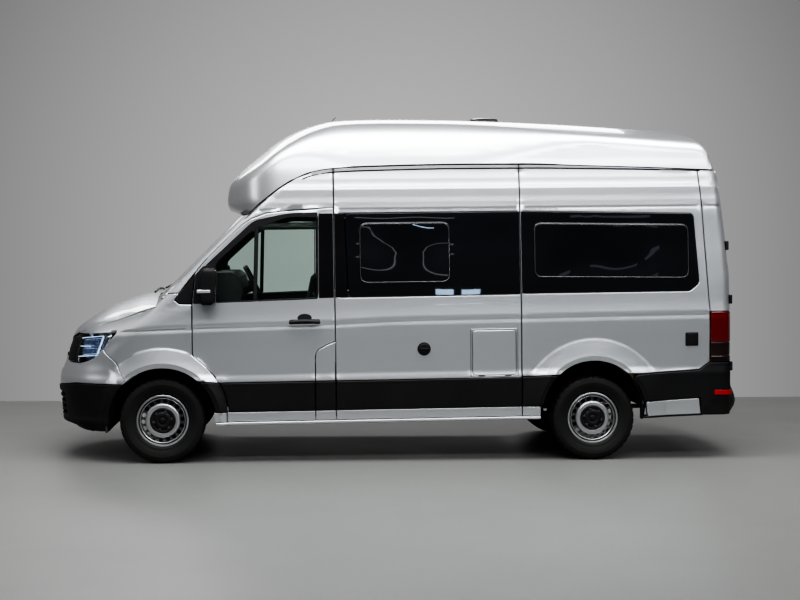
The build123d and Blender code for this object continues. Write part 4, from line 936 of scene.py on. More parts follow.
def build_headlamps():
    """Clear covers over dark housings with twin projectors, reflectors and light strips."""
    glow = glowing("daylight_strip", (0.75, 0.86, 1.0), (0.6, 0.75, 1.0), (0.55, 0.74, 1.0), rough=(0.2, 0.3),
                   Emission_Strength=0.7)
    lens_blue = glowing("projector_lens", (0.10, 0.13, 0.22), (0.03, 0.05, 0.12), (0.25, 0.45, 1.0),
                        rough=(0.02, 0.05), grain=(70, 9.0), patch=40, detail=0.0, Metallic=0.5,
                        Coat_Weight=1.0, Emission_Strength=0.05)
    cover = [(520, 1062), (505, 872), (640, 868)] + around_front(LAMP_OUTLINE)[::-1]
    cover += around_front([(2560, 1112), (2716, 1101)]) + [(640, 1080)]
    how = dict(view="round", field=nose_field)
    both_sides("headlamp_cover", BODY, LENS, cover, ("headlamps", "headlamps"), slot="lamp_clear", lift=0.001,
               depth=0.004, roll=0.003, radius=9, lining=LENS, step=0.03, **how)
    both_sides("headlamp_house", BODY, GLOSS_BLACK, cover, slot="black_trim", lift=-0.060, depth=0.003,
               roll=0.002, radius=9, step=0.03, **how)
    both_sides("headlamp_mask", BODY, BAND,
               [(522, 1060), (507, 876), (640, 872), (706, 878), (732, 1076), (640, 1078)], slot="black_trim",
               lift=0.0025, depth=0.008, roll=0.004, radius=9, step=0.03, **how)
    how["slot"] = "lamp_clear"
    for k, (bowl, lens) in enumerate((
            (((742, 926), (980, 944), (1005, 1000), (748, 1002)),
             ((770, 938), (962, 952), (978, 990), (774, 990))),
            (((748, 1010), (1010, 1008), (1042, 1090), (756, 1066)),
             ((776, 1020), (996, 1020), (1018, 1074), (780, 1056))))):
        both_sides(f"reflector_{k}", BODY, CHROME, bowl, lift=-0.036, depth=0.02, roll=0.010, radius=12,
                   step=0.02, **how)
        both_sides(f"projector_{k}", BODY, lens_blue, lens, lift=-0.024, depth=0.012, roll=0.008, radius=14,
                   step=0.02, **how)
    both_sides("corner_reflector", BODY, CHROME,
               [(1004, 960), (1064, 1094), (1112, 1122), (1122, 1112), (1050, 990), (1020, 950)], lift=-0.030,
               depth=0.012, roll=0.006, radius=8, step=0.02, **how)
    for k, strip in enumerate((
            [(730, 919), (988, 939), (990, 933), (732, 912)],
            [(757, 1076), (1048, 1102), (1050, 1096), (758, 1070)],
            [(1050, 1100), (1043, 1097), (981, 942), (989, 940)],
            [(748, 1008), (900, 1010), (900, 1004), (748, 1002)])):
        both_sides(f"light_strip_{k}", BODY, glow, strip, lift=-0.014, depth=0.010, roll=0.002, radius=3,
                   **how)


def build_grille():
    """The upper grille between the headlamps: a dark frame and four bars."""
    how = dict(view="round", field=nose_field, slot="black_trim")
    frame_edge = [(0, 1064), (300, 1064), (512, 1060), (500, 908), (300, 908), (0, 908)]
    panel("grille_frame", "body", BAND, front_both(frame_edge), ("grille",), lift=0.0, depth=0.03, radius=8,
          holes=[([(-478, 1046), (478, 1046), (468, 924), (-468, 924)], 12)], **how)
    panel("grille_dark", "body", LINER, front_both([(0, 1060), (505, 1058), (495, 912), (0, 912)]),
          lift=-0.045, depth=0.004, radius=6, **how)
    for k, w in enumerate((1034, 1003, 972, 941)):
        bar = [(-474, w), (474, w), (472, w - 13), (-472, w - 13)]
        panel(f"grille_bar_{k}", "body", CHROME if k in (0, 3) else GLOSS_BLACK, bar, lift=-0.004,
              depth=0.026, radius=5, roll=0.004, **how)


def build_cowl():
    """The black scuttle at the foot of the windscreen and two wipers."""
    ring = [(2037, 868), (2049, 640), (2059, 400), (2064, 0), (2059, -400), (2049, -640), (2037, -868),
            (1900, -880), (1935, -640), (1965, -300), (1972, 0), (1965, 300), (1935, 640), (1900, 880)]
    panel("scuttle", "body", BAND, ring, ("cab_shell",), view="top", field=nose_field, slot="black_trim",
          lift=-0.008, depth=0.05, radius=10, step=0.05)
    for name, foot, tip, low, lead in (("left", 0.72, 0.04, 1.455, 0.080),
                                       ("right", -0.06, -0.70, 1.470, 0.036)):
        path = []
        for t in np.linspace(0, 1, 9):
            v = foot + (tip - foot) * t
            w = low + 0.018 * math.sin(math.pi * min(t * 1.1, 1)) + 0.012 * t
            u = SCREEN_FOOT[0] + (w - SCREEN_FOOT[1]) * SCREEN_RUN - v * v / SCREEN_BOW + lead - 0.032 * t
            path.append((u, v, w))
        place(f"wiper_{name}", rod(f"wiper_{name}", path, 0.009), "body")
        blade = [(p[0] - 0.012, p[1], p[2] - 0.008) for p in path[3:]]
        place(f"wiper_blade_{name}", rod(f"wiper_blade_{name}", blade, 0.005), "body")


def build_mirrors():
    """Door mirrors: a tall black case on a short arm, two glasses and a clear indicator strip."""

    def shaped(x, y, z):
        t = (z - 1.352) / 0.306
        crown = 0.020 * math.sin(math.pi * min(max(t, 0), 1))
        depth = 1 - 0.22 * abs(2 * t - 1) ** 2.5
        return (1.5925 + (x - 1.5925) * depth - 0.020 * t + crown * (1 if x > 1.6 else 0.2), y, z)

    for word, low, high, material, bevel, taper, slot, gone in (
            ("case", (1.523, 1.020, 1.352), (1.662, 1.212, 1.658), BAND, 0.045, shaped, "black_trim",
             ("door_mirror_left", "door_mirror_right")),
            ("arm", (1.575, 0.955, 1.372), (1.640, 1.060, 1.435), BAND, 0.018, None, "black_trim", ()),
            ("strip", (1.560, 1.045, 1.452), (1.673, 1.2135, 1.481), INDICATOR, 0.010, None, "lamp_clear",
             ()),
            ("glass", (1.520, 1.040, 1.460), (1.526, 1.195, 1.640), CHROME, 0.002, None, "lamp_clear", ()),
            ("glass_low", (1.520, 1.040, 1.370), (1.526, 1.195, 1.448), CHROME, 0.002, None, "lamp_clear",
             ())):
        pair(f"mirror_{word}", soft_box(f"mirror_{word}", low, high, material, bevel, taper), DOORS,
             gone)


def build_handles():
    """Grip handles over dark cups, and the filler cap and power socket on the left."""
    dark = dict(slot="black_trim")
    both_sides("handle_cup", DOORS, BAND, oval(796, 1228, 62, 36, 28), lift=0.0015, depth=0.02, roll=0.004,
               radius=0, **dark)
    bar = [(0.925 - 0.257 * t, 1.017 + 0.036 * math.sin(math.pi * t) ** 0.5,
            1.196 - 0.004 * math.cos(2 * math.pi * t))
           for t in np.linspace(0.02, 0.98, 15)]
    pair("handle_bar", rod("handle_bar", bar, 0.0155, sides=14), DOORS)
    base = [(925, 1210), (915, 1216), (675, 1216), (668, 1208), (668, 1186), (680, 1179), (912, 1178),
            (926, 1186)]
    both_sides("handle_base", DOORS, BAND, base, lift=0.010, depth=0.014, roll=0.005, radius=9, **dark)
    for name, outline, lift, depth, roll, radius in (
            ("filler_ring", oval(-204, 952, 56, 56, 40), 0.008, 0.016, 0.006, 0),
            ("filler_cap", oval(-204, 952, 44, 44, 40), 0.016, 0.024, 0.006, 0),
            ("filler_grip", oblong(-240, -168, 960, 944), 0.024, 0.016, 0.004, 6),
            ("power_socket", oblong(-2443, -2552, 1054, 940), 0.010, 0.018, 0.005, 9),
            ("power_socket_lid", oblong(-2454, -2541, 1044, 952), 0.014, 0.014, 0.005, 8)):
        panel(name, "body", BAND, outline, lift=lift, depth=depth, roll=roll, radius=radius, **dark)


# ---------------------------------------------------------------- rear end


def rear_edge(w, inset):
    """Half width of the rear face at a height, drawn in by inset, in millimetres."""
    return float(side_section(w * MM)) / MM - inset


def around_rear(points):
    return [(round_a(u, v, "rear_round"), w) for u, v, w in points]


def build_rear():
    """Rear doors with their windows and a blank plate, the header, lamps and hinges."""
    heights = [(738, 18), (792, 75), (1228, 90), (1240, 20), (1500, 18), (1800, 17), (2100, 17), (2396, 20)]
    door = [(6, 738)] + [(rear_edge(w, inset), w) for w, inset in heights] + [(6, 2396)]
    window = [(130, 1424), (800, 1424), (772, 2070), (130, 2070)]
    both_sides("rear_door_panel", REAR_DOORS, SILVER, door, REAR_DOORS, view="rear", holes=[(window, 38)],
               lining=TRIM, depth=0.062, radius=6)
    glass = [(122, 1416), (808, 1416), (780, 2078), (122, 2078)]
    both_sides("rear_door_glass", REAR_DOORS, PRIVACY, glass, ("rear_glass_left", "rear_glass_right"),
               view="rear", slot="dark_glass", lift=0.003, depth=0.008, roll=0.003, radius=42)
    head = [(0, 2436), (rear_edge(2440, 40), 2436), (rear_edge(2405, 24), 2403), (0, 2403)]
    for name, body, material, outline, slot, lift, depth, roll, radius, side in (
            ("plate_holder", "rear_door_left", BAND, oblong(50, 585, 1190, 1020), "black_trim", 0.012, 0.02,
             0.006, 14, 1),
            ("plate_blank", "rear_door_left", finish("plate_sheet", PLATE, rough=(0.3, 0.4)),
             oblong(62, 573, 1160, 1050), "clear_glass", 0.016, 0.006, 0.002, 8, 1),
            ("rear_handle", "rear_door_right", BAND, oblong(30, 215, 1262, 1215), "black_trim", 0.028, 0.032,
             0.010, 14, -1),
            ("brake_lamp", "body", RED_LENS, front_both([(0, 2432), (150, 2430), (150, 2410), (0, 2410)]),
             "lamp_red", 0.006, 0.02, 0.004, 5, 1)):
        panel(name, body, material, outline, slot=slot, side=side, view="rear", lift=lift, depth=depth,
              roll=roll, radius=radius)
    panel("rear_header", "body", SILVER, front_both(head), view="rear", lining=TRIM, depth=0.05, radius=4)
    start, end = (a for a, w in around_rear([(-2875, 938, 1228), (-2667, 1009, 1228)]))
    for word, material, top, low, lift in (("red", RED_LENS, 1226, 968, 0.004),
                                           ("dark", DARK_LENS, 964, 852, 0.002),
                                           ("low", DARK_LENS, 848, 799, 0.004)):
        both_sides(f"tail_lamp_{word}", BODY, material, [(start, top), (start, low), (end, low), (end, top)],
                   ("tail_lamps", "tail_lamps"), view="rear_round", slot="lamp_red", lift=lift, depth=0.04,
                   roll=0.006, radius=8, step=0.03)
    for k, w in enumerate((757, 1330, 1790)):
        v = rear_edge(w, 22) * MM
        u = float(rear_line(w * MM)) + 0.028 * v * v
        block = soft_box(f"rear_hinge_{k}", (u - 0.012, v - 0.085, w * MM - 0.038),
                         (u + 0.012, v + 0.002, w * MM + 0.038), BAND, 0.008)
        pair(f"rear_hinge_{k}", block, REAR_DOORS)


rear_bumper_line = smooth_curve((330, -2945), (390, -2985), (440, -2997), (500, -2985), (560, -2955),
                                (700, -2945), (745, -2925), (780, -2895))


def rear_bumper_field(u, v, w):
    """Below 0 inside the rear bumper."""
    half = 1.012 - 0.02 * ease((0.42 - w) / 0.1)
    behind = np.clip((-2.50 - u) / (-2.50 - rear_bumper_line(w)), 0, None)
    return ((np.abs(v) / half) ** 5 + behind ** 2.6) ** (1 / 3.2) - 1


def build_rear_bumper():
    """The black rear bumper with its step, red reflectors and mud flaps."""
    how = dict(view="rear_round", field=rear_bumper_field, slot="black_trim", lining=CHASSIS)
    corner = around_rear([(-2655, 1000, 785), (-2600, 1000, 735), (-2588, 1000, 345)])
    skin = [(0, 720), (400, 720), (800, 722), (860, 780)] + corner + [(500, 335), (0, 335)]
    panel("rear_bumper_skin", "body", BAND, front_both(skin), depth=0.045, radius=10, step=0.04, **how)
    both_sides("rear_reflector", BODY, REFLECTOR, [(-2690, 558), (-2842, 554), (-2842, 514), (-2690, 519)],
               slot="lamp_red", lift=0.017, depth=0.012, roll=0.003, radius=6)
    pair("mud_flap", soft_box("mud_flap", (-2.076, 0.930, 0.318), (-2.062, 0.985, 0.560), BAND, 0.004), BODY)
    step = [(0, 714), (300, 714), (620, 714), (620, 700), (300, 700), (0, 700)]
    how.pop("lining")
    panel("bumper_step", "body", CHASSIS, front_both(step), lift=0.004, depth=0.03, radius=3, roll=0.003,
          **how)


# ---------------------------------------------------------------- high roof

ROOF_AXIS_W = 2.08


def facing(points, faces, normals):
    """The faces, each turned so that it looks the way its corners' normals point."""
    out = []
    for f in faces:
        flat = np.cross(np.array(points[f[2]]) - points[f[0]], np.array(points[f[-1]]) - points[f[1]])
        out.append(f if flat @ normals[f[0]] > 0 else f[::-1])
    return out


def roof_columns():
    """Rays fan out from a line inside the roof, over its front, top and rear: (u, tilt) from the front back."""
    columns = [(ROOF_FRONT_U, math.radians(tilt)) for tilt in np.linspace(84, 0, 34)[:-1]]
    columns += [(u, 0.0) for u in np.linspace(ROOF_FRONT_U, ROOF_BACK_U, 66)]
    return columns + [(ROOF_BACK_U, math.radians(tilt)) for tilt in np.linspace(0, -84, 44)[1:]]


def build_roof():
    """The moulded roof, its underside over the cab, the dark seal along its seam and, below it, a black bead as
    painted shade of the channel.
    """
    columns, steps = roof_columns(), 72
    tilt = np.array([t for u, t in columns])
    origin = np.array([(u, 0.0, ROOF_AXIS_W) for u, t in columns])

    def cast(angle):
        way = np.stack([np.sin(tilt), np.cos(tilt) * np.cos(angle), np.sin(angle) * np.cos(tilt)], 1)
        return strike(roof_field, origin + way * 2.4, -way, 2.4)

    low, high = np.zeros(len(columns)), np.full(len(columns), math.pi / 2)
    for _ in range(18):
        middle = (low + high) / 2
        hit = cast(middle)
        above = hit[:, 2] > roof_seam(hit[:, 0])
        high, low = np.where(above, middle, high), np.where(above, low, middle)
    rows = [cast(high + (math.pi - 2 * high) * k / steps) for k in range(steps + 1)]
    points = np.concatenate(rows)
    normals = outward(roof_field, points)
    n = len(columns)
    skin = Skin()
    faces = [[k * n + i, (k + 1) * n + i, (k + 1) * n + i + 1,
              k * n + i + 1] for k in range(steps) for i in range(n - 1)]
    faces = facing(points, [f for f in faces if np.linalg.norm(points[f[0]] - points[f[1]]) > 1e-4], normals)
    skin.add(points, faces, [[normals[i] for i in f] for f in faces])
    below = np.tile([0.3, 0, -0.95], (4, 1))
    across = np.stack([rows[0] + (rows[-1] - rows[0]) * t for t in np.linspace(0, 1, 9)])
    for i in [i for i in range(n - 1) if rows[0][i][0] > 1.27]:
        for j in range(8):
            quad = [across[j][i], across[j][i + 1], across[j + 1][i + 1], across[j + 1][i]]
            skin.add(quad, facing(quad, [[0, 1, 2, 3]], below), [below])
    inner = points - normals * 0.035
    skin.add(inner, [f[::-1] for f in faces], [[-normals[i] for i in f[::-1]] for f in faces], 1)
    place("high_roof_shell", skin.mesh("high_roof_shell", [SILVER, TRIM]), "body",
          ("high_roof",))
    # The channel below the seal is a black bead on the surface: painted shade of that groove.
    for word, drop, front, back, lift in (("roof_seal", 0.0, 1.30, -2.70, 0.006),
                                          ("roof_channel", 0.036, 0.80, -2.60, 0.003)):
        bead = Skin()
        for sign in (1, -1):
            loops = []
            for u in np.linspace(front, back, 90):
                w = float(roof_seam(u)) - drop * min(1, 0.35 + (u + 2.75) / 2.6)
                half = float(side_half(np.array(u), np.array(w))) + lift
                loops.append([(u, sign * (half - 0.003), w + 0.006), (u, sign * half, w),
                              (u, sign * (half - 0.002), w - 0.008),
                              (u, sign * (half - 0.02), w - 0.010)])
            for a, b in zip(loops, loops[1:]):
                for k in range(3):
                    quad = [a[k], b[k], b[k + 1], a[k + 1]]
                    flat = np.array([0, sign * 0.9, (0.5, -0.2, -0.9)[k]])
                    bead.add(quad, facing(quad, [[0, 1, 2, 3]], [flat] * 4), [[tuple(flat)] * 4])
        place(word, bead.mesh(word, [BAND]), "body")


def build_roof_fittings():
    """The roof vent with its smoked lid, and a short aerial near the front."""

    def domed(x, y, z):
        return (x, y, z - 0.013 * ((abs(x + 0.8365) / 0.12) ** 2 + (abs(y) / 0.19) ** 3) * (z > 2.955))

    for name, low, high, material, bevel, taper, gone in (
            ("hatch_frame", (-0.962, -0.196, 2.905), (-0.711, 0.196, 2.944), BAND, 0.010, None,
             ("roof_hatch",)),
            ("hatch_lid", (-0.954, -0.188, 2.942), (-0.719, 0.188, 2.969), GLOSS_BLACK, 0.006, domed, ()),
            ("aerial_foot", (0.512, -0.018, 2.925), (0.558, 0.018, 2.948), BAND, 0.008, None, ())):
        place(name, soft_box(name, low, high, material, bevel, taper), "body", gone)
    place("aerial", rod("aerial", [(0.535, 0, 2.940), (0.512, 0, 2.964), (0.489, 0, 2.988)], 0.0035), "body")


# ---------------------------------------------------------------- glass


def spread(quad, by):
    """A pane's four corners moved outwards: from the front top corner, round over the rear top one."""
    (a, b), (c, d), (e, f), (g, h) = quad
    return [(a + by, b + by), (c - by, d + by), (e - by, f - by), (g + by, h - by)]


def across_both(half, top):
    """The outline made symmetrical: points run from the foot's centre up the left to the top's centre."""
    return half + [(0, top)] + [(-v, w) for v, w in half[:0:-1]]


def build_glass():
    """Privacy glass and its opening panes, black foil on the pillars, door glass and windscreen."""
    dark, trim = dict(slot="dark_glass"), dict(slot="black_trim")
    thin = dict(lift=0.003, depth=0.006, roll=0.003)
    both_sides("mid_glass", BODY, PRIVACY, [(447, 2096), (-1028, 2099), (-1028, 1403), (424, 1397)],
               ("side_windows", "side_windows"), radius=[40, 6, 6, 40], **thin, **dark)
    both_sides("quarter_glass", BODY, PRIVACY,
               [(-1043, 2101), (-2503, 2067), (-2526, 2048), (-2566, 1474), (-2485, 1409), (-1043, 1407)],
               radius=[6, 30, 30, 30, 30, 6], **thin, **dark)
    for word, pane, corner in (("mid", oblong(320, -425, 2006, 1520), 62),
                               ("quarter", [(-1161, 1992), (-2476, 1965), (-2471, 1526), (-1159, 1550)], 55)):
        both_sides(f"{word}_pane", BODY, PANE, pane, lift=0.007, depth=0.006, roll=0.004, radius=corner,
                   **dark)
        for name, material, wide, hole, lift, depth, roll in (("frame", GLOSS_BLACK, 13, 2, 0.008, 0.007,
                                                               0.004),
                                                              ("line", PANE_EDGE, 5, 1, 0.0095, 0.003,
                                                               0.0015)):
            both_sides(f"{word}_pane_{name}", BODY, material, spread(pane, wide), lift=lift, depth=depth,
                       roll=roll, radius=corner + min(wide, 12), holes=[(spread(pane, hole), corner + hole)],
                       **trim)
    for name, bodies, outline in (
            ("wall_foil", BODY, [(535, 2098), (453, 2098), (430, 1397), (535, 1395)]),
            ("door_foil", DOORS, [(667, 2102), (549, 2101), (549, 1393), (674, 1391)])):
        both_sides(name, bodies, GLOSS_BLACK, outline, lift=0.0015, depth=0.003, roll=0.0015, radius=5,
                   **trim)
    rim = [(1655, 1360), (1640, 1655), (1206, 2050), (915, 2107), (676, 2112), (682, 1384)]
    opening = [(1543, 1372), (1529, 1691), (1209, 1977), (919, 2072), (684, 2066), (692, 1398)]
    both_sides("door_glass_seal", DOORS, BAND, rim, lift=0.002, depth=0.022, roll=0.004,
               radius=[20, 60, 60, 60, 14, 14], holes=[(opening, [10, 40, 60, 60, 20, 20])], **trim)
    both_sides("door_glass_pane", DOORS, CLEAR,
               [(1560, 1368), (1545, 1700), (1216, 1995), (919, 2085), (678, 2078), (686, 1390)],
               ("door_glass_left", "door_glass_right"), slot="clear_glass", lift=-0.006, depth=0.004,
               roll=0.002, lining=CLEAR, radius=20)
    both_sides("door_divider", DOORS, BAND, [(1202, 1990), (1168, 1994), (1190, 1385), (1224, 1385)],
               lift=0.0, depth=0.014, radius=3, **trim)
    both_sides("mirror_corner", DOORS, BAND,
               [(1722, 1358), (1697, 1604), (1632, 1672), (1545, 1690), (1545, 1360)], lift=0.004, depth=0.02,
               radius=12, **trim)
    both_sides("pillar_corner", BODY, BAND, [(1733, 1357), (1832, 1357), (1877, 1391), (1708, 1592)],
               lift=0.003, depth=0.02, radius=8, field=cab_field, **trim)
    how = dict(view="front", field=cab_field)
    screen = across_both([(0, 1449), (500, 1452), (800, 1462), (872, 1476), (868, 1500), (790, 1990),
                          (770, 2062), (700, 2088)], 2090)
    panel("windscreen_glass", "body", CLEAR, screen, ("windscreen",), slot="clear_glass", lift=-0.003,
          depth=0.005, roll=0.002, lining=CLEAR, radius=20, step=0.06, **how)
    hole = across_both([(0, 1515), (500, 1517), (770, 1528), (812, 1548), (735, 1985), (712, 2030),
                        (660, 2045)], 2047)
    panel("windscreen_border", "body", GLOSS_BLACK, screen, lift=-0.009, depth=0.002, roll=0.001, radius=20,
          step=0.06, holes=[(hole, 25)], **trim, **how)
    around = across_both([(0, 1430), (500, 1428), (860, 1425), (932, 1405), (955, 1412), (942, 1600),
                          (905, 1850), (878, 2092)], 2096)
    cut = across_both([(0, 1443), (500, 1446), (803, 1456), (878, 1472), (874, 1500), (796, 1992),
                       (775, 2067), (702, 2088)], 2088)
    panel("screen_surround", "body", SILVER, around, lift=-0.001, depth=0.05, radius=6, step=0.05,
          holes=[(cut, 20)], **how)


# ---------------------------------------------------------------- cab inside

SEAT_CLOTH = finish("seat_cloth", (0.045, 0.046, 0.050), (0.028, 0.029, 0.032), rough=(0.85, 0.95),
                    grain=(1600, 1.6), patch=40, detail=2.0, Sheen_Weight=0.25, Sheen_Roughness=0.5)
PAD_CAP = 0.024
PAD_VOXEL = 0.006
PAD_FRAMES = 20


def padded_mesh(name, low, high, lean):
    """A stuffed pad between two corners, leaned back, blown up as cloth and held within PAD_CAP."""
    mesh = soft_box(name, low, high, SEAT_CLOTH, 0.030, lambda x, y, z: (x - lean * (z - low[2]), y, z))
    mesh = with_modifier(mesh, "REMESH", mode="VOXEL", voxel_size=PAD_VOXEL)
    start = np.empty(3 * len(mesh.vertices))
    mesh.vertices.foreach_get("co", start)
    start = start.reshape(-1, 3)
    holder = bpy.data.objects.new("pad", mesh)
    bpy.context.scene.collection.objects.link(holder)
    cloth = holder.modifiers.new("pad", "CLOTH")
    cloth.settings.quality = 4
    cloth.settings.use_pressure = True
    cloth.settings.uniform_pressure_force = 4.0
    cloth.settings.effector_weights.gravity = 0.0
    cloth.point_cache.frame_start, cloth.point_cache.frame_end = 1, PAD_FRAMES
    for moment in range(1, PAD_FRAMES + 1):
        bpy.context.scene.frame_set(moment)
    blown = bpy.data.meshes.new_from_object(holder.evaluated_get(bpy.context.evaluated_depsgraph_get()))
    holder.modifiers.clear()
    bpy.data.objects.remove(holder)
    bpy.context.scene.frame_set(1)
    end = np.empty(3 * len(blown.vertices))
    blown.vertices.foreach_get("co", end)
    move = end.reshape(-1, 3) - start
    far = np.maximum(np.linalg.norm(move, axis=1, keepdims=True), 1e-9)
    blown.vertices.foreach_set("co", (start + move * np.minimum(1, PAD_CAP / far)).ravel())
    blown.materials.clear()
    blown.materials.append(SEAT_CLOTH)
    blown = with_modifier(blown, "SUBSURF", levels=1, render_levels=1)
    shade(blown, 180)
    return blown


def build_seats():
    """Two cab seats: a plinth, a padded cushion, backrest and headrest, and the rods between them."""
    pads = [padded_mesh("seat_cushion", (0.745, -0.215, 0.905), (1.165, 0.215, 1.000), 0.0),
            padded_mesh("seat_back", (0.740, -0.205, 1.035), (0.815, 0.205, 1.580), 0.22),
            padded_mesh("seat_headrest", (0.610, -0.110, 1.640), (0.660, 0.110, 1.800), 0.10)]
    for word, shift in (("left", 0.48), ("right", -0.48)):
        move = Matrix.Translation((0, shift, 0))
        for mesh in pads:
            own = mesh.copy()
            own.transform(move)
            title = f"{mesh.name.split('.')[0]}_{word}"
            place(title, own, "body",
                  ("front_seats",) if mesh is pads[0] and word == "left" else ())
        for name, low, high, bevel in (("seat_plinth", (0.735, -0.185, 0.602), (1.140, 0.185, 0.862), 0.020),
                                       ("seat_tray", (0.705, -0.235, 0.858), (1.175, 0.235, 0.896), 0.014)):
            mesh = soft_box(name, low, high, CABIN, bevel)
            mesh.transform(move)
            place(f"{name}_{word}", mesh, "body")
        for name, v in (("seat_rod_outer", 0.06), ("seat_rod_inner", -0.06)):
            mesh = rod(name, [(0.628, v, 1.58), (0.612, v, 1.67)], 0.006, CHROME)
            mesh.transform(move)
            place(f"{name}_{word}", mesh, "body")


def build_headliner():
    """The lining over the cab, and two sun visors."""
    place("cab_lining", soft_box("cab_lining", (0.600, -0.835, 1.990), (1.210, 0.835, 2.030), TRIM, 0.012),
          "body")
    for word, v in (("left", 0.43), ("right", -0.43)):
        visor = soft_box(f"sun_visor_{word}", (1.225, v - 0.20, 1.985), (1.385, v + 0.20, 2.003), TRIM, 0.007,
                         lambda x, y, z: (x, y, z - 0.35 * (x - 1.225)))
        place(f"sun_visor_{word}", visor, "body")


# ---------------------------------------------------------------- wheels


def revolved(name, profile, segments, dip=None):
    """A ring about the Y axis from (outboard, radius) points in millimetres, outboard towards +Y."""
    points, faces = [], []
    n = len(profile)
    for i in range(segments):
        turn = 2 * math.pi * i / segments
        for k, (out, radius) in enumerate(profile):
            r = (radius - (dip(i, k, out, radius) if dip else 0)) * MM
            points.append((r * math.cos(turn), out * MM, r * math.sin(turn)))
    for i in range(segments):
        j = (i + 1) % segments
        for k in range(n):
            m = (k + 1) % n
            faces.append([i * n + k, i * n + m, j * n + m, j * n + k])
    mesh = bpy.data.meshes.new(name)
    mesh.from_pydata(points, [], faces)
    work = bmesh.new()
    work.from_mesh(mesh)
    bmesh.ops.remove_doubles(work, verts=work.verts, dist=1e-6)
    bmesh.ops.recalc_face_normals(work, faces=work.faces)
    work.to_mesh(mesh)
    work.free()
    return mesh


def rounded_profile(points, radius):
    return [(x / MM, y / MM) for x, y in rounded(points, radius)]


def shade(mesh, angle=35):
    """Smooth shading with edges sharper than the angle kept."""
    mesh.polygons.foreach_set("use_smooth", [True] * len(mesh.polygons))
    mesh.set_sharp_from_angle(angle=math.radians(angle))


def with_modifier(mesh, kind, **values):
    """The mesh with one modifier applied."""
    holder = bpy.data.objects.new("work", mesh)
    bpy.context.scene.collection.objects.link(holder)
    modifier = holder.modifiers.new("work", kind)
    for key, value in values.items():
        setattr(modifier, key, value)
    bpy.context.view_layer.update()
    made = bpy.data.meshes.new_from_object(holder.evaluated_get(bpy.context.evaluated_depsgraph_get()))
    bpy.data.objects.remove(holder)
    return made


TREAD_GROOVES = (-62, -22, 22, 62)
TYRE_SEGMENTS = 216
RIM_HOLES, RIM_HOLE_REACH, RIM_HOLE_RADIUS = 18, 0.163, 0.0185


def tyre_mesh():
    """A road tyre: sidewalls with ribs, four grooves round the tread and cross cuts between blocks."""
    side = [(80, 203), (80, 214), (87, 217), (94, 224), (101, 231), (103, 236), (102, 241), (107, 252),
            (113, 270), (117.5, 288), (118, 300), (119, 303), (118, 306), (115.5, 322), (114.5, 325),
            (114, 328), (108, 340), (101, 347), (94, 351)]
    crown = []
    for groove in TREAD_GROOVES[::-1]:
        crown += [(groove + 7, 354.5), (groove + 4.5, 346), (groove - 4.5, 346), (groove - 7, 354.5)]
    crown = [(84, 352.8)] + crown + [(-84, 352.8)]
    profile = side + crown + [(-out, radius) for out, radius in side[::-1]]

    def cross_cut(i, k, out, radius):
        if radius < 339 or 345 < radius < 347:
            return 0
        rib = int(np.searchsorted(TREAD_GROOVES, out))
        return 6.0 if (i + 2 * rib) % 6 == 0 else 0.0

    return revolved("tyre", profile, TYRE_SEGMENTS, dip=cross_cut)


def rim_mesh():
    """A pressed steel wheel: bright flange, hollow with round holes, raised inner ring; the hollow, the groove
    and the inboard faces carry painted shade.
    """
    face = [(86, 216.5), (88, 212), (88, 204), (84, 200.5), (70, 199), (68, 191), (75, 190), (77, 187),
            (75, 183.5), (60, 182), (54, 176), (52, 163), (53, 152), (60, 147), (70, 144), (77, 139),
            (80, 128), (80, 118), (77, 107), (60, 104)]
    back = [(52, 104), (56, 112), (66, 122), (62, 132), (50, 142), (46, 152), (45, 163), (46, 178), (50, 190),
            (40, 194), (-70, 194), (-80, 202), (-88, 206), (-88, 214), (-84, 216), (-80, 210), (-70, 203),
            (60, 203), (78, 206), (80, 214)]
    mesh = revolved("rim", face + back, 144)
    cutter = bmesh.new()
    for k in range(RIM_HOLES):
        turn = 2 * math.pi * (k + 0.35) / RIM_HOLES
        at = Matrix.Translation((RIM_HOLE_REACH * math.cos(turn), 0.05, RIM_HOLE_REACH * math.sin(turn)))
        bmesh.ops.create_cone(cutter, cap_ends=True, segments=24, radius1=RIM_HOLE_RADIUS,
                              radius2=RIM_HOLE_RADIUS, depth=0.06,
                              matrix=at @ Matrix.Rotation(math.pi / 2, 4, "X"))
    tool = bpy.data.meshes.new("holes")
    cutter.to_mesh(tool)
    cutter.free()
    tool_object = bpy.data.objects.new("holes", tool)
    bpy.context.scene.collection.objects.link(tool_object)
    made = with_modifier(mesh, "BOOLEAN", operation="DIFFERENCE", object=tool_object, solver="EXACT")
    bpy.data.objects.remove(tool_object)
    made.materials.clear()
    for material in (RIM, RIM_HOLLOW_SHADE, CHASSIS):
        made.materials.append(material)
    # Painted shade: the groove at 190-200 mm and the inboard faces take the black chassis finish, and the
    # hollow at 148-182 mm the darker hollow finish.
    for face in made.polygons:
        reach = math.hypot(face.center.x, face.center.z) / MM
        groove = 190.5 < reach < 200.5
        face.material_index = 2 if groove or face.center.y < 0.05 else 1 if 147.5 < reach < 182.5 else 0
    return made


def cap_mesh():
    """The black centre cap with a stepped dome."""
    profile = [(60, 104), (79, 104), (83, 101), (84, 92), (80, 84), (80, 72), (86, 66), (90, 58), (90, 40),
               (86, 36), (86, 24), (93, 20), (95, 12), (95, 0.01), (60, 0.01)]
    return revolved("cap", rounded_profile(profile, 2), 72)


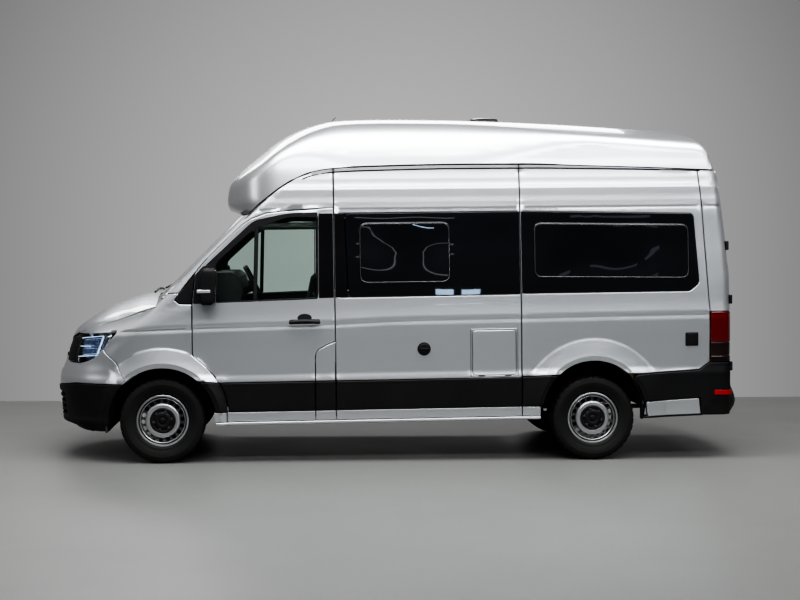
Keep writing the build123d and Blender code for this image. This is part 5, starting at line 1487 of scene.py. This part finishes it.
def bolt_ring():
    """Domed wheel bolts in a ring, from a node tree with its own count, pitch and size."""
    tree, entry, leave = node_group("bolt_ring", "GeometryNodeTree",
                                    (("Count", "Int", 6), ("Pitch Radius", "Float", 0.076),
                                     ("Bolt Radius", "Float", 0.013),
                                     ("Height", "Float", 0.016), ("Material", "Material", None)),
                                    (("Geometry", "Geometry"),))
    circle, head, on, real, paint = (tree.nodes.new("GeometryNode" + k) for k in (
        "MeshCircle", "MeshCone", "InstanceOnPoints", "RealizeInstances", "SetMaterial"))
    head.inputs["Vertices"].default_value = 12
    wire(tree, (entry.outputs["Count"], circle.inputs["Vertices"]),
         (entry.outputs["Pitch Radius"], circle.inputs["Radius"]),
         (entry.outputs["Bolt Radius"], head.inputs["Radius Bottom"]),
         (sum_of(tree, "MULTIPLY", entry.outputs["Bolt Radius"], 0.72), head.inputs["Radius Top"]),
         (entry.outputs["Height"], head.inputs["Depth"]), (circle.outputs["Mesh"], on.inputs["Points"]),
         (head.outputs["Mesh"], on.inputs["Instance"]), (on.outputs["Instances"], real.inputs["Geometry"]),
         (real.outputs["Geometry"], paint.inputs["Geometry"]),
         (entry.outputs["Material"], paint.inputs["Material"]),
         (paint.outputs["Geometry"], leave.inputs["Geometry"]))
    return tree


def from_tree(tree, **inputs):
    """The mesh that a node tree makes with the given inputs."""
    holder = bpy.data.objects.new("work", bpy.data.meshes.new("work"))
    bpy.context.scene.collection.objects.link(holder)
    modifier = holder.modifiers.new("work", "NODES")
    modifier.node_group = tree
    for item in tree.interface.items_tree:
        key = item.name.replace(" ", "_")
        if item.in_out == "INPUT" and key in inputs:
            modifier[item.identifier] = inputs[key]
    bpy.context.view_layer.update()
    made = bpy.data.meshes.new_from_object(holder.evaluated_get(bpy.context.evaluated_depsgraph_get()))
    holder.modifiers.clear()
    bpy.data.objects.remove(holder)
    return made


def build_wheels():
    """Tyre, rim, cap and bolts at each corner, where the CAD wheels are."""
    tyre, rim, cap = tyre_mesh(), rim_mesh(), cap_mesh()
    bolts = from_tree(bolt_ring(), Count=6, Pitch_Radius=0.076, Bolt_Radius=0.0125, Height=0.014,
                      Material=CHASSIS)
    bolts.transform(Matrix.Translation((0, 0.080, 0)) @ Matrix.Rotation(-math.pi / 2, 4, "X"))
    tyre.materials.append(RUBBER)
    cap.materials.append(BAND)
    for mesh, angle in ((tyre, 40), (rim, 40), (cap, 50), (bolts, 30)):
        shade(mesh, angle)
    for corner in ("front_left", "front_right", "rear_left", "rear_right"):
        low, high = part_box(f"tyre_{corner}")
        centre = (low + high) / 2
        turn = Matrix.Rotation(0 if centre.y > 0 else math.pi, 4, "Z")
        spun = Matrix.Rotation(math.radians(11 if "front" in corner else 47), 4, "Y")
        body = f"roadwheel_{corner}"
        for word, mesh, slot, gone in (("tyre", tyre, "tyre_rubber", (f"tyre_{corner}",)),
                                       ("rim", rim, "wheel_silver", (f"wheel_{corner}",)),
                                       ("cap", cap, "chassis_black", ()),
                                       ("bolts", bolts, "chassis_black", ())):
            own = mesh.copy()
            own.transform(Matrix.Translation(centre) @ turn @ spun)
            place(f"{word}_{corner}_look", own, body, gone)


# ---------------------------------------------------------------- studio and camera


FLOOR_REACH = 60.0
FLOOR_END = -3.9
BACKDROP_STRENGTH = 0.9


def backdrop_tone(tree, across, up, away):
    """The backdrop's brightness in a direction: light behind the van, darker towards the corners."""
    run = sum_of(tree, "ADD", sum_of(tree, "DIVIDE", across, away), 0.07)
    rise = sum_of(tree, "DIVIDE", up, away)
    square = sum_of(tree, "ADD", sum_of(tree, "MULTIPLY", run, run), sum_of(tree, "MULTIPLY", rise, rise))
    return map_range(tree, sum_of(tree, "SQRT", square, 0.0), 0.05, 0.36, 0.50, 0.20)


def stage_floor():
    """A wide plain floor; beyond FLOOR_END it glows with painted light in the backdrop's tone, bright behind
    the van and darker towards the corners.
    """
    mesh = bpy.data.meshes.new("studio_floor")
    reach = FLOOR_REACH
    mesh.from_pydata([(-reach, -reach, 0), (reach, -reach, 0), (reach, reach, 0), (-reach, reach, 0)], [],
                     [[0, 1, 2, 3]])
    ground = finish("studio_floor", (0.150, 0.153, 0.146), (0.132, 0.135, 0.128), rough=(0.35, 0.5),
                    grain=(60, 0.05), patch=0.7)
    tree = ground.node_tree
    place_on, apart, painted_glow, both = (tree.nodes.new("ShaderNode" + k)
                                   for k in ("TexCoord", "SeparateXYZ", "Emission", "MixShader"))
    shift = sum_of(tree, "SUBTRACT", apart.outputs["X"], CAMERA_AT[0])
    away = sum_of(tree, "SUBTRACT", CAMERA_AT[1], apart.outputs["Y"])
    # Painted light: the far floor gives off the backdrop's brightness, which falls off from behind the van
    # towards the corners.
    tone = backdrop_tone(tree, shift, sum_of(tree, "MULTIPLY", away, 0.0), away)
    painted_glow.inputs["Strength"].default_value = BACKDROP_STRENGTH
    wire(tree, (place_on.outputs["Object"], apart.inputs[0]), (tone, painted_glow.inputs["Color"]),
         (sum_of(tree, "GREATER_THAN", away, CAMERA_AT[1] - FLOOR_END), both.inputs["Fac"]),
         (tree.nodes["Principled BSDF"].outputs[0], both.inputs[1]), (painted_glow.outputs[0], both.inputs[2]),
         (both.outputs[0], tree.nodes["Material Output"].inputs["Surface"]))
    mesh.materials.append(ground)
    floor = bpy.data.objects.new("studio_floor", mesh)
    bpy.context.scene.collection.objects.link(floor)


def hang_lights():
    """Soft light above, in front and behind, and small lamps that the glass and paint mirror."""
    for name, at, aim, size, watts, tint in (
            ("ceiling", (-0.4, 2.2, 6.4), (-0.3, 0, 0.6), (9, 3.0), 760, (1, 1, 1)),
            ("front_bank", (-0.5, 8.0, 6.4), (-0.2, 0, 1.6), (9, 1.2), 420, (0.97, 0.98, 1)),
            ("belt_tube", (-1.2, 8.6, 3.9), (-0.6, 0, 1.4), (5.5, 0.10), 14, (0.97, 0.98, 1)),
            ("low_lamp_front", (-1.28, 10.0, 2.31), (-0.38, 0.97, 1.45), (0.27, 0.05), 0.5, (0.55, 0.75, 1)),
            ("low_lamp_rear", (-1.68, 10.0, 2.31), (-0.58, 0.97, 1.45), (0.27, 0.05), 0.5, (0.55, 0.75, 1)),
            ("high_lamp", (-3.2, 10.0, 3.42), (-1.44, 0.97, 2.08), (0.6, 0.07), 0.22, (0.75, 0.85, 1)),
            ("wall_glow", (-3.8, 10.0, 2.94), (-1.78, 0.97, 1.77), (1.2, 0.14), 0.35, (0.75, 0.8, 1)),
            ("pane_glow", (-0.7, 10.0, 2.95), (-0.03, 0.97, 1.83), (1.5, 0.05), 0.40, (0.9, 0.95, 1)),
            ("rear_bank", (-6.5, 7.0, 5.0), (-1.5, 0, 1.3), (4, 1.6), 70, (0.93, 0.96, 1)),
            ("nose_bank", (9.0, 3.0, 4.0), (2.4, 0, 0.9), (2.5, 2.5), 55, (1, 1, 1)),
            ("rear_fill", (0.5, -6.5, 5.5), (-0.4, 0, 1.2), (9, 1.6), 260, (1, 1, 1))):
        light = bpy.data.lights.new(name, "AREA")
        light.shape = "RECTANGLE"
        light.size, light.size_y = size
        light.energy = watts
        light.color = tint
        holder = bpy.data.objects.new(name, light)
        holder.location = at
        holder.rotation_euler = (Vector(aim) - Vector(at)).to_track_quat("-Z", "Y").to_euler()
        holder.visible_camera = False
        bpy.context.scene.collection.objects.link(holder)


def light_world():
    """Surroundings that brighten upwards, and the backdrop in the direction behind the van."""
    world = bpy.data.worlds.new("studio")
    bpy.context.scene.world = world
    world.use_nodes = True
    tree = world.node_tree
    back = tree.nodes["Background"]
    where, apart, ramp = (tree.nodes.new("ShaderNode" + k) for k in ("TexCoord", "SeparateXYZ", "ValToRGB"))
    stops = ramp.color_ramp.elements
    stops[0].position, stops[0].color = 0.0, (0.10, 0.10, 0.10, 1)
    stops[1].position, stops[1].color = 1.0, (0.70, 0.71, 0.73, 1)
    for position, value in ((0.49, 0.05), (0.53, 0.05), (0.60, 0.14), (0.72, 0.42)):
        stop = stops.new(position)
        stop.color = (value, value, value * 1.02, 1)
    side, up = apart.outputs["Y"], apart.outputs["Z"]
    wire(tree, (where.outputs["Generated"], apart.inputs[0]),
         (map_range(tree, up, -1, 1, 0, 1), ramp.inputs["Fac"]))
    behind = sum_of(tree, "MAXIMUM", sum_of(tree, "MULTIPLY", side, -1.0), 0.2)
    tone = backdrop_tone(tree, apart.outputs["X"], up, behind)
    seen = colour_mix(tree, map_range(tree, side, 0.15, -0.35, 0, 1), ramp.outputs["Color"], tone)
    wire(tree, (seen, back.inputs["Color"]))
    back.inputs["Strength"].default_value = BACKDROP_STRENGTH


def build_studio():
    """The floor, the lights, the surroundings and the picture's contrast."""
    stage_floor()
    hang_lights()
    light_world()
    bpy.context.scene.view_settings.look = "AgX - High Contrast"


def build_camera():
    """A camera level with the windows, square to the left side."""
    yaw, pitch, roll = (math.radians(a) for a in CAMERA_TURN)
    ahead = Vector((-math.sin(yaw) * math.cos(pitch), -math.cos(yaw) * math.cos(pitch), -math.sin(pitch)))
    right = Vector((-math.cos(yaw), math.sin(yaw), 0))
    up = right.cross(ahead)
    right, up = (right * math.cos(roll) + up * math.sin(roll), up * math.cos(roll) - right * math.sin(roll))
    data = bpy.data.cameras.new("camera")
    data.sensor_width = 36.0
    data.lens = FOCAL_PX / PICTURE_WIDTH * data.sensor_width
    camera = bpy.data.objects.new("camera", data)
    turn = Matrix((right, up, -ahead)).transposed().to_4x4()
    camera.matrix_world = Matrix.Translation(CAMERA_AT) @ turn
    bpy.context.scene.collection.objects.link(camera)
    bpy.context.scene.camera = camera


# ---------------------------------------------------------------- making it

CAD_FINISHES = (
    (BAND, ("front_bumper", "grille", "door_mirror_left", "door_mirror_right")),
    (SILVER, ("rear_door_left", "rear_door_right")),
    (PRIVACY, ("rear_glass_left", "rear_glass_right")),
    (CHROME, ("headlamps",)),
    (RED_LENS, ("tail_lamps",)),
    (CHASSIS, ("floor_pan", "front_subframe", "rear_axle", "underfloor_tanks")),
    (CAST, ("engine_block", "knuckle_left", "knuckle_right")),
    (CABIN, ("steering_wheel", "dashboard")),
    (LINER, ("wheel_arch_liners",)),
    (BOARD, ("furniture",)),
)

for build in (build_camera, build_nose, build_sides, build_foot, build_bumper, build_undertray,
              build_headlamps, build_grille, build_cowl, build_mirrors, build_handles, build_rear,
              build_rear_bumper, build_roof, build_roof_fittings, build_glass, build_seats, build_headliner,
              build_wheels):
    build()
for material, node_names in CAD_FINISHES:
    for node_name in node_names:
        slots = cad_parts[node_name].data.materials
        slots.clear()
        slots.append(material)
build_studio()
